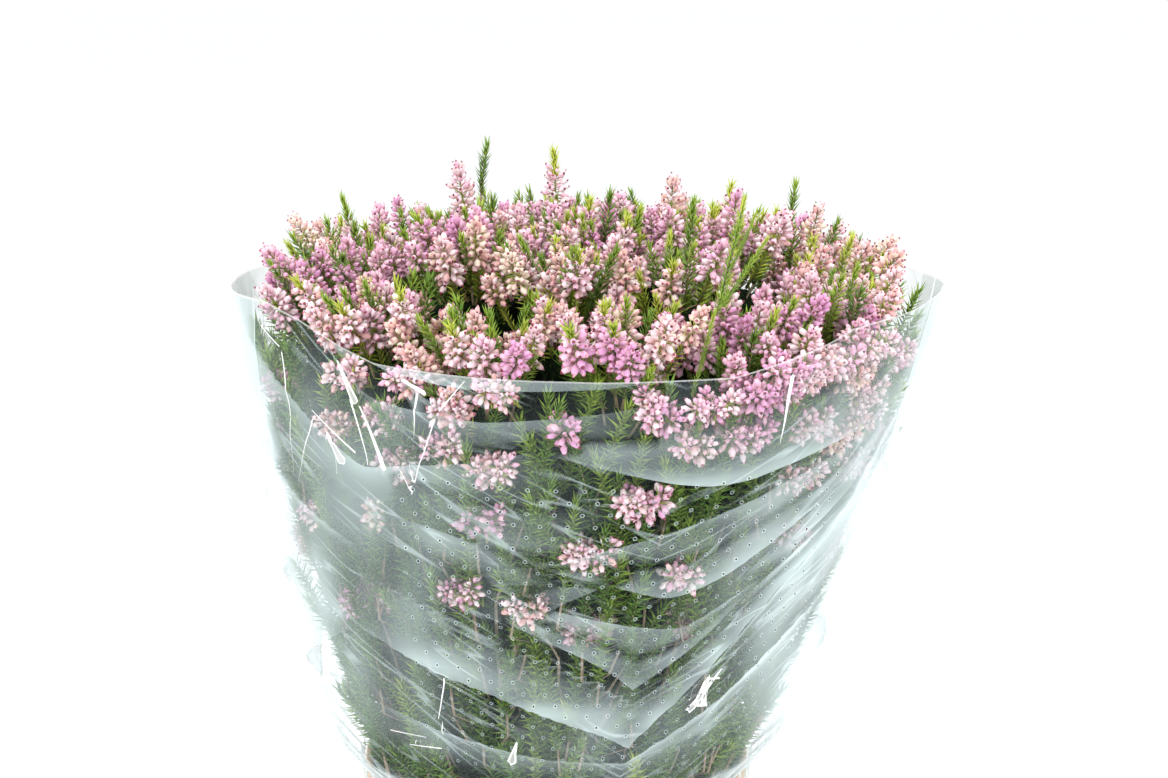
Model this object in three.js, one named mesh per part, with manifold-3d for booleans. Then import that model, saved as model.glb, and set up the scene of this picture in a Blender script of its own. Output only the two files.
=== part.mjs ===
// A potted heath in a clear flower sleeve: a plain pot, its peat, the film sleeve round the plant, and
// leafy stems that end in heads of bell flowers. Millimetres, +Z up, origin at the middle of the pot's base.

import * as THREE from "three";
import { mergeVertices } from "three/addons/utils/BufferGeometryUtils.js";
import Module from "manifold-3d";

const wasm = await Module();
wasm.setup();

// Fits
const GAP = 0.3;
const SEED = 7000;
const SAME_PLACE = 1e-4;
const ROUND_SIDES = 32;

// Pot
const POT_HEIGHT = 208;
const POT_BASE_RADIUS = 92;
const POT_RIM_RADIUS = 132;
const POT_WALL = 4;
const POT_FLOOR = 5;
const COLLAR_HEIGHT = 28;
const COLLAR_STEP = 7;
const COLLAR_FOOT = POT_HEIGHT - COLLAR_HEIGHT;
const EDGE_ROUND = 1.5;

// Peat
const PEAT_TOP = 186;
const PEAT_LUMP = 2.5;
const PEAT_RINGS = [0.72, 0.36, 0];
const LUMP_WIDTH = 15;
const HOLE_DEPTH = 26;
const HOLE_SIDES = 4;

// Sleeve
const FILM = 1;
const HEM_Z = 150;
const HEM_RADIUS = POT_RIM_RADIUS + 2;
const MOUTH_Z = 520;
const LEAN = 20;
const LEAN_POWER = 1.3;
const LEAN_MOST = 1.1;
const FOLD_DEPTH = 4.5;
const FOLDS = [
  { count: 5, share: 0.6, twist: 0 },
  { count: 8, share: 0.4, twist: 9 },
];
const CORNER_RISE_RIGHT = 24;
const CORNER_RISE_LEFT = 10;
const CORNER_SHARPNESS = 8;
const CORNER_CLIMB = 4;

// Heights at which the film's radius and the plant's reach are known
const LEVELS = [
  { z: PEAT_TOP, film: POT_RIM_RADIUS + GAP, reach: 86 },
  { z: POT_HEIGHT + 4, film: POT_RIM_RADIUS + GAP, reach: 104 },
  { z: 241, film: 157, reach: 136 },
  { z: 385, film: 199, reach: 183 },
  { z: 457, film: 218, reach: 203 },
  { z: MOUTH_Z, film: 229, reach: 214 },
  { z: 640, film: 235, reach: 220 },
];

// Stems: each ring's stems stand in equal cells that grow with the plant's reach
const CELL_RADIUS = 0.18;
const CELL_MARGIN = 1;
const CROWN_TOP = 584;
const CROWN_DROP = 30;
const RINGS = [
  { radius: 0, phase: 0, outer: false, rises: [6] },
  { radius: 0.42, phase: 53, outer: false, rises: [28, 34, 40, 4, -4, 12, 26] },
  { radius: 0.8, phase: 0, outer: true, rises: [8, 22, 20, 10, 12, 22, 24, 6, -8, -20, -14, -18, -8] },
];
const LEAFY_STEMS = [7, 9, 15];
const STEM_BASE_RADIUS = 3;
const STEM_TIP_RADIUS = 1.8;
const STEM_SIDES = 3;
const STRAIGHT = 6;
const WANDER = 0.22;
const INWARD_TURN = 150;

// Side shoots: where on the stem each starts and ends, as parts of the stem's length over the peat
const CROWN_SHOOTS = [
  { from: 0.62, to: 0.95 },
  { from: 0.68, to: 0.98 },
  { from: 0.74, to: 0.93 },
];
const LOW_SIDE_SHOOT = { from: 0.14, to: 0.4 };
const HIGH_SIDE_SHOOT = { from: 0.36, to: 0.62 };
const LOW_SIDE_TURN = -30;
const HIGH_SIDE_TURN = 50;
const SHOOT_BASE_RADIUS = 1.7;
const SHOOT_TIP_RADIUS = 1.3;
const SHOOT_SPREAD = 0.84;
const SHOOT_BOW = 0.16;

// Needles, at true size
const NEEDLE = { length: 10, radius: 1, waist: 0.35, sides: 3 };
const NEEDLE_TILT = 52;
const NEEDLE_TIP_TILT = 18;
const LEAFY_NEEDLES = [0.55, 0.72, 0.82, 0.88, 0.93, 0.97, 0.992];
const STEM_NEEDLES = [0.6];
const SHOOT_NEEDLES = [0.55, 0.82, 0.96];
const GOLDEN_ANGLE = 137.5;

// Flower heads: a middle raceme and three round it, with bells larger than life
const HEAD_HEIGHT = 60;
const SIDE_RACEMES = 3;
const RACEME_SPREAD = 0.44;
const RACEME_DROP = 8;
const RACEME_BASE_RADIUS = 1.6;
const RACEME_TIP_RADIUS = 3.4;
const RACEME_BOW = 0.2;
const BELL = { length: 21, radius: 9.5, waist: 0.66, sides: 4 };
const BELL_JITTER = 16;
const MIDDLE_BELLS = [
  { part: 0.86, offset: 60, tilt: 52 },
  { part: 0.92, offset: 240, tilt: 44 },
];
const SIDE_BELLS = [
  { part: 0.5, offset: -25, tilt: 100 },
  { part: 0.7, offset: 45, tilt: 84 },
  { part: 0.84, offset: -45, tilt: 68 },
  { part: 0.94, offset: 8, tilt: 26 },
];

// Low heads: small clusters that show through the film on some of the outer stems
const LOW_HEADS = [9, 12, 16, 17, 19, 20, 21];
const LOW_HEAD_SPREAD = 0.44;
const LOW_HEAD_CORE = 16;
const LOW_BELL = { length: 15, radius: 7, waist: 0.68, sides: 4 };
const LOW_BELLS = [
  { part: 0.35, offset: 20, tilt: 96 },
  { part: 0.5, offset: -60, tilt: 84 },
  { part: 0.65, offset: 80, tilt: 76 },
  { part: 0.8, offset: -10, tilt: 52 },
  { part: 0.86, offset: 40, tilt: 14 },
];

const finish = {
  pot: new THREE.MeshStandardMaterial({ color: 0xd8b892, roughness: 0.75, metalness: 0 }),
  peat: new THREE.MeshStandardMaterial({ color: 0x35271c, roughness: 1, metalness: 0 }),
  film: new THREE.MeshStandardMaterial({
    color: 0xe8f2f2, roughness: 0.15, metalness: 0, transparent: true, opacity: 0.3,
  }),
  leaf: new THREE.MeshStandardMaterial({ color: 0x4f7d33, roughness: 0.6, metalness: 0 }),
  flower: new THREE.MeshStandardMaterial({ color: 0xe3a3bd, roughness: 0.6, metalness: 0 }),
};

const UP = new THREE.Vector3(0, 0, 1);
const radians = THREE.MathUtils.degToRad;

// A repeatable stream of numbers from 0 to 1
function randomStream(seed) {
  let state = seed;
  return () => {
    state = (Math.imul(state, 1664525) + 1013904223) >>> 0;
    return state / 2 ** 32;
  };
}

// The value of one of the LEVELS' columns at any height
function levelAt(column, z) {
  const above = LEVELS.findIndex((level) => level.z >= z);
  if (above === 0) {
    return LEVELS[0][column];
  }
  if (above < 0) {
    return LEVELS[LEVELS.length - 1][column];
  }
  const low = LEVELS[above - 1];
  const high = LEVELS[above];
  return THREE.MathUtils.mapLinear(z, low.z, high.z, low[column], high[column]);
}

// How far the plant and its sleeve lean to +X at a height
function leanAt(z) {
  const part = Math.max(0, z - POT_HEIGHT) / (MOUTH_Z - POT_HEIGHT);
  return LEAN * Math.min(LEAN_MOST, part) ** LEAN_POWER;
}

// A closed geometry as a solid for joining and cutting
function solidFrom(geometry) {
  geometry.deleteAttribute("normal");
  geometry.deleteAttribute("uv");
  const merged = mergeVertices(geometry, SAME_PLACE);
  const corners = merged.index.array;
  const kept = [];
  for (let i = 0; i < corners.length; i += 3) {
    const [a, b, c] = [corners[i], corners[i + 1], corners[i + 2]];
    if (a !== b && b !== c && c !== a) {
      kept.push(a, b, c);
    }
  }
  return new wasm.Manifold(new wasm.Mesh({
    numProp: 3,
    vertProperties: new Float32Array(merged.attributes.position.array),
    triVerts: new Uint32Array(kept),
  }));
}

function joined(solids) {
  return solids.reduce((whole, next) => whole.add(next));
}

function meshFrom(name, solid, material) {
  const { vertProperties, triVerts } = solid.getMesh();
  const geometry = new THREE.BufferGeometry();
  geometry.setAttribute("position", new THREE.BufferAttribute(vertProperties, 3));
  geometry.setIndex(new THREE.BufferAttribute(triVerts, 1));
  geometry.computeVertexNormals();
  const mesh = new THREE.Mesh(geometry, material);
  mesh.name = name;
  return mesh;
}

// A lathed solid that stands on +Z, from [radius, z] pairs
function lathed(profile, sides = ROUND_SIDES) {
  const points = profile.map(([radius, z]) => new THREE.Vector2(radius, z));
  const geometry = new THREE.LatheGeometry(points, sides);
  geometry.rotateX(Math.PI / 2);
  return geometry;
}

// Moves every corner of a geometry by a function that changes the corner it is given
function bend(geometry, move) {
  const position = geometry.attributes.position;
  const corner = new THREE.Vector3();
  for (let i = 0; i < position.count; i += 1) {
    corner.fromBufferAttribute(position, i);
    move(corner);
    position.setXYZ(i, corner.x, corner.y, corner.z);
  }
  return geometry;
}

// A point on a chain of knots, from 0 at the first to 1 at the last
function along(knots, part) {
  const place = part * (knots.length - 1);
  const low = Math.min(knots.length - 2, Math.floor(place));
  return knots[low].clone().lerp(knots[low + 1], place - low);
}

// A tapered tube through a chain of knots that climbs
function taperedTube(knots, startRadius, endRadius) {
  const tube = new THREE.CylinderGeometry(1, 1, 1, STEM_SIDES, knots.length - 1);
  tube.rotateX(Math.PI / 2);
  return solidFrom(bend(tube, (corner) => {
    const part = corner.z + 0.5;
    const radius = THREE.MathUtils.lerp(startRadius, endRadius, part);
    const middle = along(knots, part);
    corner.set(middle.x + corner.x * radius, middle.y + corner.y * radius, middle.z);
  }));
}

// A unit direction from its turn about +Z and its tilt away from +Z, in degrees
function direction(turn, tilt) {
  const flat = Math.sin(radians(tilt));
  return new THREE.Vector3(
    flat * Math.cos(radians(turn)), flat * Math.sin(radians(turn)), Math.cos(radians(tilt)));
}

// A needle or a bell: pointed at its root and its end, and widest between them
function spindle(root, outward, { length, radius, waist, sides }) {
  const geometry = lathed([[0, 0], [radius, waist * length], [0, length]], sides);
  geometry.applyQuaternion(new THREE.Quaternion().setFromUnitVectors(UP, outward));
  geometry.translate(root.x, root.y, root.z);
  return geometry;
}

function makePot() {
  const shoulder = POT_RIM_RADIUS - COLLAR_STEP;
  return lathed([
    [0, 0],
    [POT_BASE_RADIUS, 0],
    [shoulder, COLLAR_FOOT - EDGE_ROUND],
    [POT_RIM_RADIUS - EDGE_ROUND, COLLAR_FOOT],
    [POT_RIM_RADIUS, COLLAR_FOOT + EDGE_ROUND],
    [POT_RIM_RADIUS, POT_HEIGHT - EDGE_ROUND],
    [POT_RIM_RADIUS - EDGE_ROUND, POT_HEIGHT],
    [potInnerRadius(POT_HEIGHT), POT_HEIGHT],
    [potInnerRadius(COLLAR_FOOT), COLLAR_FOOT],
    [potInnerRadius(POT_FLOOR), POT_FLOOR],
    [0, POT_FLOOR],
  ]);
}

// The inner radius of the pot's wall at a height
function potInnerRadius(z) {
  const base = POT_BASE_RADIUS - POT_WALL;
  const rim = POT_RIM_RADIUS - POT_WALL;
  const shoulder = rim - COLLAR_STEP;
  if (z < COLLAR_FOOT) {
    return THREE.MathUtils.mapLinear(z, POT_FLOOR, COLLAR_FOOT, base, shoulder);
  }
  return THREE.MathUtils.mapLinear(z, COLLAR_FOOT, POT_HEIGHT, shoulder, rim);
}

// The peat fills the pot and is cut for each stem, with a gap all round
function makePeat(cells) {
  const wallAt = (z) => [potInnerRadius(z) - 2 * GAP, z];
  const rim = wallAt(PEAT_TOP - PEAT_LUMP);
  const geometry = lathed([
    [0, POT_FLOOR + GAP],
    wallAt(POT_FLOOR + GAP),
    wallAt(COLLAR_FOOT),
    rim,
    ...PEAT_RINGS.map((part) => [rim[0] * part, PEAT_TOP]),
  ]);
  bend(geometry, (corner) => {
    if (corner.z === PEAT_TOP) {
      corner.z += PEAT_LUMP * Math.sin(corner.x / LUMP_WIDTH) * Math.cos(corner.y / LUMP_WIDTH);
    }
  });
  const holeHeight = HOLE_DEPTH + 3 * PEAT_LUMP;
  const radius = (STEM_BASE_RADIUS + 2 * GAP) / Math.cos(Math.PI / HOLE_SIDES);
  return cells.reduce((peat, cell) => {
    const hole = new THREE.CylinderGeometry(radius, radius, holeHeight, HOLE_SIDES);
    hole.rotateX(Math.PI / 2);
    const foot = cell.knots[0];
    hole.translate(foot.x, foot.y, foot.z - GAP + holeHeight / 2);
    return peat.subtract(solidFrom(hole));
  }, solidFrom(geometry));
}

// Splits the quads of a lathed wall alike on both of its faces, so that they can't cross where it waves
function splitAlike(geometry, profileLength, innerStart) {
  const corners = geometry.index.array;
  for (let i = 0; i < corners.length; i += 6) {
    const [a, b, d, c] = corners.slice(i, i + 4);
    if (a % profileLength >= innerStart) {
      corners.set([a, b, c, a, c, d], i);
    }
  }
  return geometry;
}

// The film: a thin leaning funnel with shallow folds, close round the pot's collar, with two raised corners
function makeSleeve() {
  const funnel = LEVELS.slice(1, -1);
  const foot = funnel[0];
  const rows = [[HEM_RADIUS, HEM_Z], [foot.film, COLLAR_FOOT], ...funnel.map(({ film, z }) => [film, z])];
  const outer = rows.map(([radius, z]) => [radius + FILM, z]);
  const inner = [...rows].reverse();
  const wall = [...outer, ...inner, outer[0]];
  return solidFrom(bend(splitAlike(lathed(wall), wall.length, outer.length), (corner) => {
    const turn = Math.atan2(corner.y, corner.x);
    const climb = Math.max(0, corner.z - foot.z) / (MOUTH_Z - foot.z);
    const wave = FOLDS.reduce(
      (sum, { count, share, twist }) => sum + share * Math.cos(count * turn + twist * climb), 0);
    const fold = FOLD_DEPTH * Math.sqrt(climb) * wave;
    const side = Math.abs(Math.cos(turn)) ** CORNER_SHARPNESS;
    const rise = (Math.cos(turn) > 0 ? CORNER_RISE_RIGHT : CORNER_RISE_LEFT) * side * climb ** CORNER_CLIMB;
    corner.x += fold * Math.cos(turn) + leanAt(corner.z);
    corner.y += fold * Math.sin(turn);
    corner.z += rise;
  }));
}

// Every stem's cell: its number, its place in the unit circle, its top and its own random stream
function makeCells() {
  const cells = [];
  RINGS.forEach(({ radius, phase, outer, rises }) => {
    rises.forEach((rise, place) => {
      const turn = phase + (360 * place) / rises.length;
      const number = cells.length + 1;
      const cell = {
        number,
        x: radius * Math.cos(radians(turn)),
        y: radius * Math.sin(radians(turn)),
        turn,
        outer,
        leafy: LEAFY_STEMS.includes(number),
        top: CROWN_TOP - CROWN_DROP * radius ** 2 + rise,
        random: randomStream(SEED + number),
        wanderTurn: LOW_HEADS.includes(number) ? turn + INWARD_TURN : GOLDEN_ANGLE * number,
      };
      cell.knots = stemKnots(cell);
      cells.push(cell);
    });
  });
  return cells;
}

function cellMiddle(cell, z) {
  const reach = levelAt("reach", z);
  return new THREE.Vector3(leanAt(z) + reach * cell.x, reach * cell.y, z);
}

function cellRadius(z) {
  return CELL_RADIUS * levelAt("reach", z) - CELL_MARGIN;
}

// Whether every corner of a geometry lies inside the cell
function fitsCell(cell, geometry) {
  const position = geometry.attributes.position;
  const corner = new THREE.Vector3();
  for (let i = 0; i < position.count; i += 1) {
    corner.fromBufferAttribute(position, i);
    if (corner.distanceTo(cellMiddle(cell, corner.z)) > cellRadius(corner.z)) {
      return false;
    }
  }
  return true;
}

// The height at which a stem ends: at its own tip, or where it gives way to its flower head
function stemEnd(cell) {
  return cell.leafy ? cell.top : cell.top - HEAD_HEIGHT;
}

// The stem's bends: straight in the peat, then wandering a little inside its cell
function stemKnots(cell) {
  const end = stemEnd(cell);
  const heights = [PEAT_TOP + STRAIGHT, ...LEVELS.slice(1).map((level) => level.z)];
  const kept = [...heights.filter((z) => z < end - STRAIGHT), end];
  const knots = kept.map((z) => {
    const part = (z - PEAT_TOP) / (cell.top - PEAT_TOP);
    const off = WANDER * cellRadius(z) * Math.sin(Math.PI * part);
    return cellMiddle(cell, z).addScaledVector(direction(cell.wanderTurn, 90), off);
  });
  return [knots[0].clone().setZ(PEAT_TOP - HOLE_DEPTH), ...knots];
}

// The stem's middle at a height
function stemMiddle(cell, z) {
  const next = Math.max(1, cell.knots.findIndex((knot) => knot.z >= z));
  const low = cell.knots[next - 1];
  const high = cell.knots[next];
  return low.clone().lerp(high, (z - low.z) / (high.z - low.z));
}

// A head's racemes: the first straight up, the others spread round it
function racemesOf(cell) {
  const foot = cell.knots[cell.knots.length - 1].clone();
  foot.z += GAP;
  const racemes = [];
  for (let i = 0; i <= SIDE_RACEMES; i += 1) {
    const turn = cell.wanderTurn + (360 * i) / SIDE_RACEMES;
    const topZ = i === 0 ? cell.top - BELL.length : cell.top - BELL.length - RACEME_DROP;
    const spread = i === 0 ? 0 : RACEME_SPREAD * cellRadius(topZ);
    const tip = cellMiddle(cell, topZ).addScaledVector(direction(turn, 90), spread);
    const bow = foot.clone().lerp(tip, 0.5).addScaledVector(direction(turn, 90), RACEME_BOW * spread);
    racemes.push({ turn, knots: [foot, bow, tip], middle: i === 0 });
  }
  return racemes;
}

// The bells on a raceme: round the upper part of the middle one, and over the outer side of the others
function bellsOn(cell, { turn, knots, middle }) {
  return (middle ? MIDDLE_BELLS : SIDE_BELLS).map(({ part, offset, tilt }) => {
    const jitter = BELL_JITTER * (cell.random() - 0.5);
    return spindle(along(knots, part), direction(turn + offset + jitter, tilt), BELL);
  });
}

function makeHead(cell) {
  const solids = [];
  racemesOf(cell).forEach((raceme) => {
    solids.push(taperedTube(raceme.knots, RACEME_BASE_RADIUS, RACEME_TIP_RADIUS));
    bellsOn(cell, raceme)
      .filter((bell) => fitsCell(cell, bell))
      .forEach((bell) => solids.push(solidFrom(bell)));
  });
  return joined(solids);
}

// A side shoot that leaves the stem and stays inside the cell
function shootOf(cell, { from, to }, turn, reach) {
  const start = stemMiddle(cell, THREE.MathUtils.lerp(PEAT_TOP, cell.top, from));
  const endZ = THREE.MathUtils.lerp(PEAT_TOP, cell.top, to);
  const spread = reach * cellRadius(endZ);
  const end = cellMiddle(cell, endZ).addScaledVector(direction(turn, 90), spread);
  const bow = start.clone().lerp(end, 0.5).addScaledVector(direction(turn, 90), SHOOT_BOW * spread);
  return { turn, knots: [start, bow, end] };
}

// The shoots of the crown rise between the head's racemes; the low ones of the outer stems face the film
function shootsOf(cell) {
  const between = (i) => cell.wanderTurn + (180 + 360 * i) / SIDE_RACEMES;
  const crown = CROWN_SHOOTS.slice(cell.outer ? 1 : 0)
    .map((shoot, i) => shootOf(cell, shoot, between(i), SHOOT_SPREAD));
  if (!cell.outer) {
    return crown;
  }
  const highTurn = cell.turn + HIGH_SIDE_TURN;
  return [...crown, lowHeadShoot(cell), shootOf(cell, HIGH_SIDE_SHOOT, highTurn, SHOOT_SPREAD)];
}

function lowHeadShoot(cell) {
  return shootOf(cell, LOW_SIDE_SHOOT, cell.turn + LOW_SIDE_TURN, LOW_HEAD_SPREAD);
}

// A small head on the tip of a low side shoot
function makeLowHead(cell) {
  const tip = lowHeadShoot(cell).knots[2];
  const foot = tip.clone().setZ(tip.z + GAP);
  const knots = [foot, foot.clone().setZ(foot.z + LOW_HEAD_CORE)];
  const bells = LOW_BELLS.map(({ part, offset, tilt }) => {
    const outward = direction(cell.turn + offset, tilt);
    return solidFrom(spindle(along(knots, part), outward, LOW_BELL));
  });
  return joined([taperedTube(knots, SHOOT_TIP_RADIUS, RACEME_TIP_RADIUS), ...bells]);
}

// A needle at each point, turned on in a spiral; one at the tip points up
function needlesAt(points, startTurn) {
  return points.map((point, i) => {
    const tilt = i === points.length - 1 ? NEEDLE_TIP_TILT : NEEDLE_TILT;
    return spindle(point, direction(startTurn + GOLDEN_ANGLE * i, tilt), NEEDLE);
  });
}

// A stem with its shoots and needles, clear of its own flower heads
function makeStem(cell, heads) {
  const clearOfHeads = (solid) => heads.every((head) => solid.intersect(head).volume() === 0);
  const heights = (cell.leafy ? LEAFY_NEEDLES : STEM_NEEDLES).map(
    (part) => THREE.MathUtils.lerp(PEAT_TOP, stemEnd(cell), part));
  const solids = [taperedTube(cell.knots, STEM_BASE_RADIUS, STEM_TIP_RADIUS)];
  const needles = needlesAt(heights.map((z) => stemMiddle(cell, z)), 0);
  shootsOf(cell).forEach(({ turn, knots }) => {
    const shoot = taperedTube(knots, SHOOT_BASE_RADIUS, SHOOT_TIP_RADIUS);
    if (clearOfHeads(shoot)) {
      solids.push(shoot);
      needles.push(...needlesAt(SHOOT_NEEDLES.map((part) => along(knots, part)), turn));
    }
  });
  const kept = needles.filter((needle) => fitsCell(cell, needle)).map(solidFrom).filter(clearOfHeads);
  return joined([...solids, ...kept]);
}

const plant = new THREE.Group();
const cells = makeCells();

plant.add(meshFrom("pot", solidFrom(makePot()), finish.pot));
plant.add(meshFrom("peat", makePeat(cells), finish.peat));
plant.add(meshFrom("sleeve", makeSleeve(), finish.film));
cells.forEach((cell) => {
  const label = String(cell.number).padStart(2, "0");
  const heads = {};
  if (!cell.leafy) {
    heads[`flowers_${label}`] = makeHead(cell);
  }
  if (LOW_HEADS.includes(cell.number)) {
    heads[`low_flowers_${label}`] = makeLowHead(cell);
  }
  plant.add(meshFrom(`stem_${label}`, makeStem(cell, Object.values(heads)), finish.leaf));
  Object.entries(heads).forEach(([name, head]) => plant.add(meshFrom(name, head, finish.flower)));
});

export default plant;
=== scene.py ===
"""A potted heath in a clear flower sleeve: the looks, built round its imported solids."""

import logging
import math
import random
from collections.abc import Sequence
from dataclasses import dataclass, field, replace
from enum import Enum

import bmesh
import bpy
import numpy as np
from mathutils import Matrix, Vector, noise


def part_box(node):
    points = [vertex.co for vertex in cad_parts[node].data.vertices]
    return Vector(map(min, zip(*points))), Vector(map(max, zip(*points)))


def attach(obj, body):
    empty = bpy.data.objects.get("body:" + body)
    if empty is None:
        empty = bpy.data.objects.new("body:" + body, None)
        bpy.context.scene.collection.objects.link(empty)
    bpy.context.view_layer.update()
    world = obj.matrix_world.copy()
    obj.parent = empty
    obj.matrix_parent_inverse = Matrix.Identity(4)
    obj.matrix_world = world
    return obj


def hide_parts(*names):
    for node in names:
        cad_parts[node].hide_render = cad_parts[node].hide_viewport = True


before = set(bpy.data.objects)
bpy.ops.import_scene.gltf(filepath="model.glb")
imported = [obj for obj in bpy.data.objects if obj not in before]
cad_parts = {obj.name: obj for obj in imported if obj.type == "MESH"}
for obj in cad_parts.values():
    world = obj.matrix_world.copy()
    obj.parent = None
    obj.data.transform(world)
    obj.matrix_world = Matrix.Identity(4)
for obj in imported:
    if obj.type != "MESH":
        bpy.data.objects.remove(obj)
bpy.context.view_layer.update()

log = logging.getLogger("heath")

SEED = 41
UP = Vector((0, 0, 1))
LEVEL = math.pi / 2
GOLDEN = math.radians(137.5)
GOLDEN_SHARE = 0.618
FILM_LENGTH = 0.42
ANY_ROLL = 6.3
TONE_LIFT = 0.001
LEAST_TONE = 0.02
GLINT_GROUPS = 4
TWIG_SIDES = 3
STEM_BARK = 1
# the face number of the painted-shade coat on a stem
STEM_SHADE = 2
HEAD_NEEDLE = 2
HEAD_BARK = 3
HEAD_COATS = ("petal", "anther", "needle", "bark")
Colour = tuple[float, float, float]
Shape = bmesh.types.BMesh
Socket = bpy.types.NodeSocket
Finishes = dict[str, bpy.types.Material]


class Slot(Enum):
    """The record's material slots."""

    POT = "pot"
    PEAT = "peat"
    FILM = "film"
    LEAF = "leaf"
    FLOWER = "flower"


class Habit(Enum):
    """How a leafy sprig has grown: its needles' lean and size, and how much lighter it is at its tip."""

    FRESH = (0.62, 1.0, 0.24)
    FULL = (0.86, 1.05, 0.14)
    OLD = (1.08, 1.05, 0.10)


# Placing and stamping


def heading(turn: float, tilt: float) -> Vector:
    """Gives a unit direction.

    Args:
        turn: Its turn about +Z from +X, in radians.
        tilt: Its tilt away from +Z, in radians.

    Returns:
        The direction.
    """
    return Vector((math.sin(tilt) * math.cos(turn), math.sin(tilt) * math.sin(turn), math.cos(tilt)))


def aimed(root: Vector, outward: Vector, size: float = 1.0, roll: float = 0.0) -> Matrix:
    """Gives the placing of a template that grows along its own +Z.

    Args:
        root: Where its root goes.
        outward: The direction in which it grows.
        size: Its scale.
        roll: Its turn about its own axis, in radians.

    Returns:
        The matrix that puts it there.
    """
    turned = outward.to_track_quat("Z", "Y").to_matrix().to_4x4()
    return Matrix.Translation(root) @ turned @ Matrix.Rotation(roll, 4, "Z") @ Matrix.Scale(size, 4)


def smooth_step(low: float, high: float, value: float) -> float:
    """Gives 0 below low, 1 above high and a smooth rise between them."""
    part = min(1.0, max(0.0, (value - low) / (high - low)))
    return part * part * (3 - 2 * part)


def turn_from(mark: float, turn: float) -> float:
    """Gives how far a turn in radians lies from a mark in degrees, between -pi and pi."""
    return (turn - math.radians(mark) + math.pi) % (2 * math.pi) - math.pi


def woven(number: int) -> float:
    """Gives places between -1 and 1 that spread evenly however many there are."""
    return 2 * ((number * GOLDEN_SHARE) % 1) - 1


def drift(*place: float) -> float:
    """Gives a smooth noise at a place, between about -1 and 1."""
    return noise.noise(Vector(place))


class Mould:
    """A mesh that is shaped once and stamped many times."""

    def __init__(self, name: str, shape: Shape) -> None:
        """Keeps a shape as a mesh.

        Args:
            name: The mesh's name.
            shape: Its bmesh, which is freed.
        """
        self.mesh = bpy.data.meshes.new(name)
        shape.to_mesh(self.mesh)
        shape.free()
        tones = self.mesh.attributes.get("tone")
        self.tones = np.zeros(len(self.mesh.vertices), np.float32)
        if tones:
            tones.data.foreach_get("value", self.tones)

    def stamp(self, target: Shape, place: Matrix, tone: float = 0.0) -> None:
        """Adds a copy to a shape.

        Args:
            target: The shape that it joins.
            place: Where it goes.
            tone: What is added to its own tones.
        """
        self.mesh.transform(place)
        if tone:
            self.mesh.attributes["tone"].data.foreach_set("value", self.tones + np.float32(tone))
        target.from_mesh(self.mesh)
        if tone:
            self.mesh.attributes["tone"].data.foreach_set("value", self.tones)
        self.mesh.transform(place.inverted())


def blank() -> Shape:
    """Starts an empty shape that keeps each point's tone and its place along the part.

    Returns:
        The shape.
    """
    shape = bmesh.new()
    shape.verts.layers.float.new("tone")
    shape.verts.layers.float.new("along")
    return shape


def smooth(shape: Shape) -> None:
    """Makes every face of a shape shade smoothly."""
    for face in shape.faces:
        face.smooth = True


def merge(target: Shape, other: Shape) -> None:
    """Adds a shape to another one.

    Args:
        target: The shape that it joins.
        other: The shape that is added, which is freed.
    """
    mesh = bpy.data.meshes.new("merged")
    other.to_mesh(mesh)
    other.free()
    target.from_mesh(mesh)
    bpy.data.meshes.remove(mesh)


def spun(profile: Sequence[tuple[float, float]], steps: int) -> Shape:
    """Turns a profile about +Z into a closed shape.

    Args:
        profile: Pairs of radius and height, from the root to the end.
        steps: How many sides it has.

    Returns:
        The shape, with its place along the profile kept in its along layer.
    """
    shape = blank()
    along = shape.verts.layers.float["along"]
    points = []
    for i, (radius, height) in enumerate(profile):
        point = shape.verts.new((radius, 0, height))
        point[along] = i / (len(profile) - 1)
        points.append(point)
    edges = [shape.edges.new(pair) for pair in zip(points, points[1:])]
    bmesh.ops.spin(shape, geom=points + edges, cent=(0, 0, 0), axis=(0, 0, 1), dvec=(0, 0, 0),
                   angle=2 * math.pi, steps=steps, use_merge=True, use_duplicate=False)
    bmesh.ops.remove_doubles(shape, verts=shape.verts, dist=1e-6)
    bmesh.ops.recalc_face_normals(shape, faces=shape.faces)
    return shape


def tube(target: Shape, knots: Sequence[Vector], radii: Sequence[float], sides: int,
         material: int, tone: float = 0.0) -> None:
    """Adds a tapered tube through a chain of knots.

    Args:
        target: The shape that it joins.
        knots: The points that it passes through.
        radii: Its radius at each knot.
        sides: How many sides it has.
        material: Its material's place on the piece.
        tone: Its tone.
    """
    shape = blank()
    along = shape.verts.layers.float["along"]
    tones = shape.verts.layers.float["tone"]
    ring = bmesh.ops.create_circle(shape, cap_ends=True, segments=sides, radius=1)["verts"]
    bmesh.ops.scale(shape, vec=(radii[0],) * 3, verts=ring)
    bmesh.ops.translate(shape, vec=knots[0], verts=ring)
    edges = list({edge for point in ring for edge in point.link_edges})
    for place, (knot, radius) in enumerate(zip(knots[1:], radii[1:]), 1):
        grown = bmesh.ops.extrude_edge_only(shape, edges=edges)["geom"]
        ring = [item for item in grown if isinstance(item, bmesh.types.BMVert)]
        edges = [item for item in grown if isinstance(item, bmesh.types.BMEdge)]
        middle = knots[place - 1]
        bmesh.ops.translate(shape, vec=-middle, verts=ring)
        bmesh.ops.scale(shape, vec=(radius / radii[place - 1],) * 3, verts=ring)
        bmesh.ops.translate(shape, vec=knot, verts=ring)
        for point in ring:
            point[along] = place / (len(knots) - 1)
    bmesh.ops.contextual_create(shape, geom=edges)
    bmesh.ops.recalc_face_normals(shape, faces=shape.faces)
    for point in shape.verts:
        point[tones] = tone
    smooth(shape)
    for face in shape.faces:
        face.material_index = material
    merge(target, shape)


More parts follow.
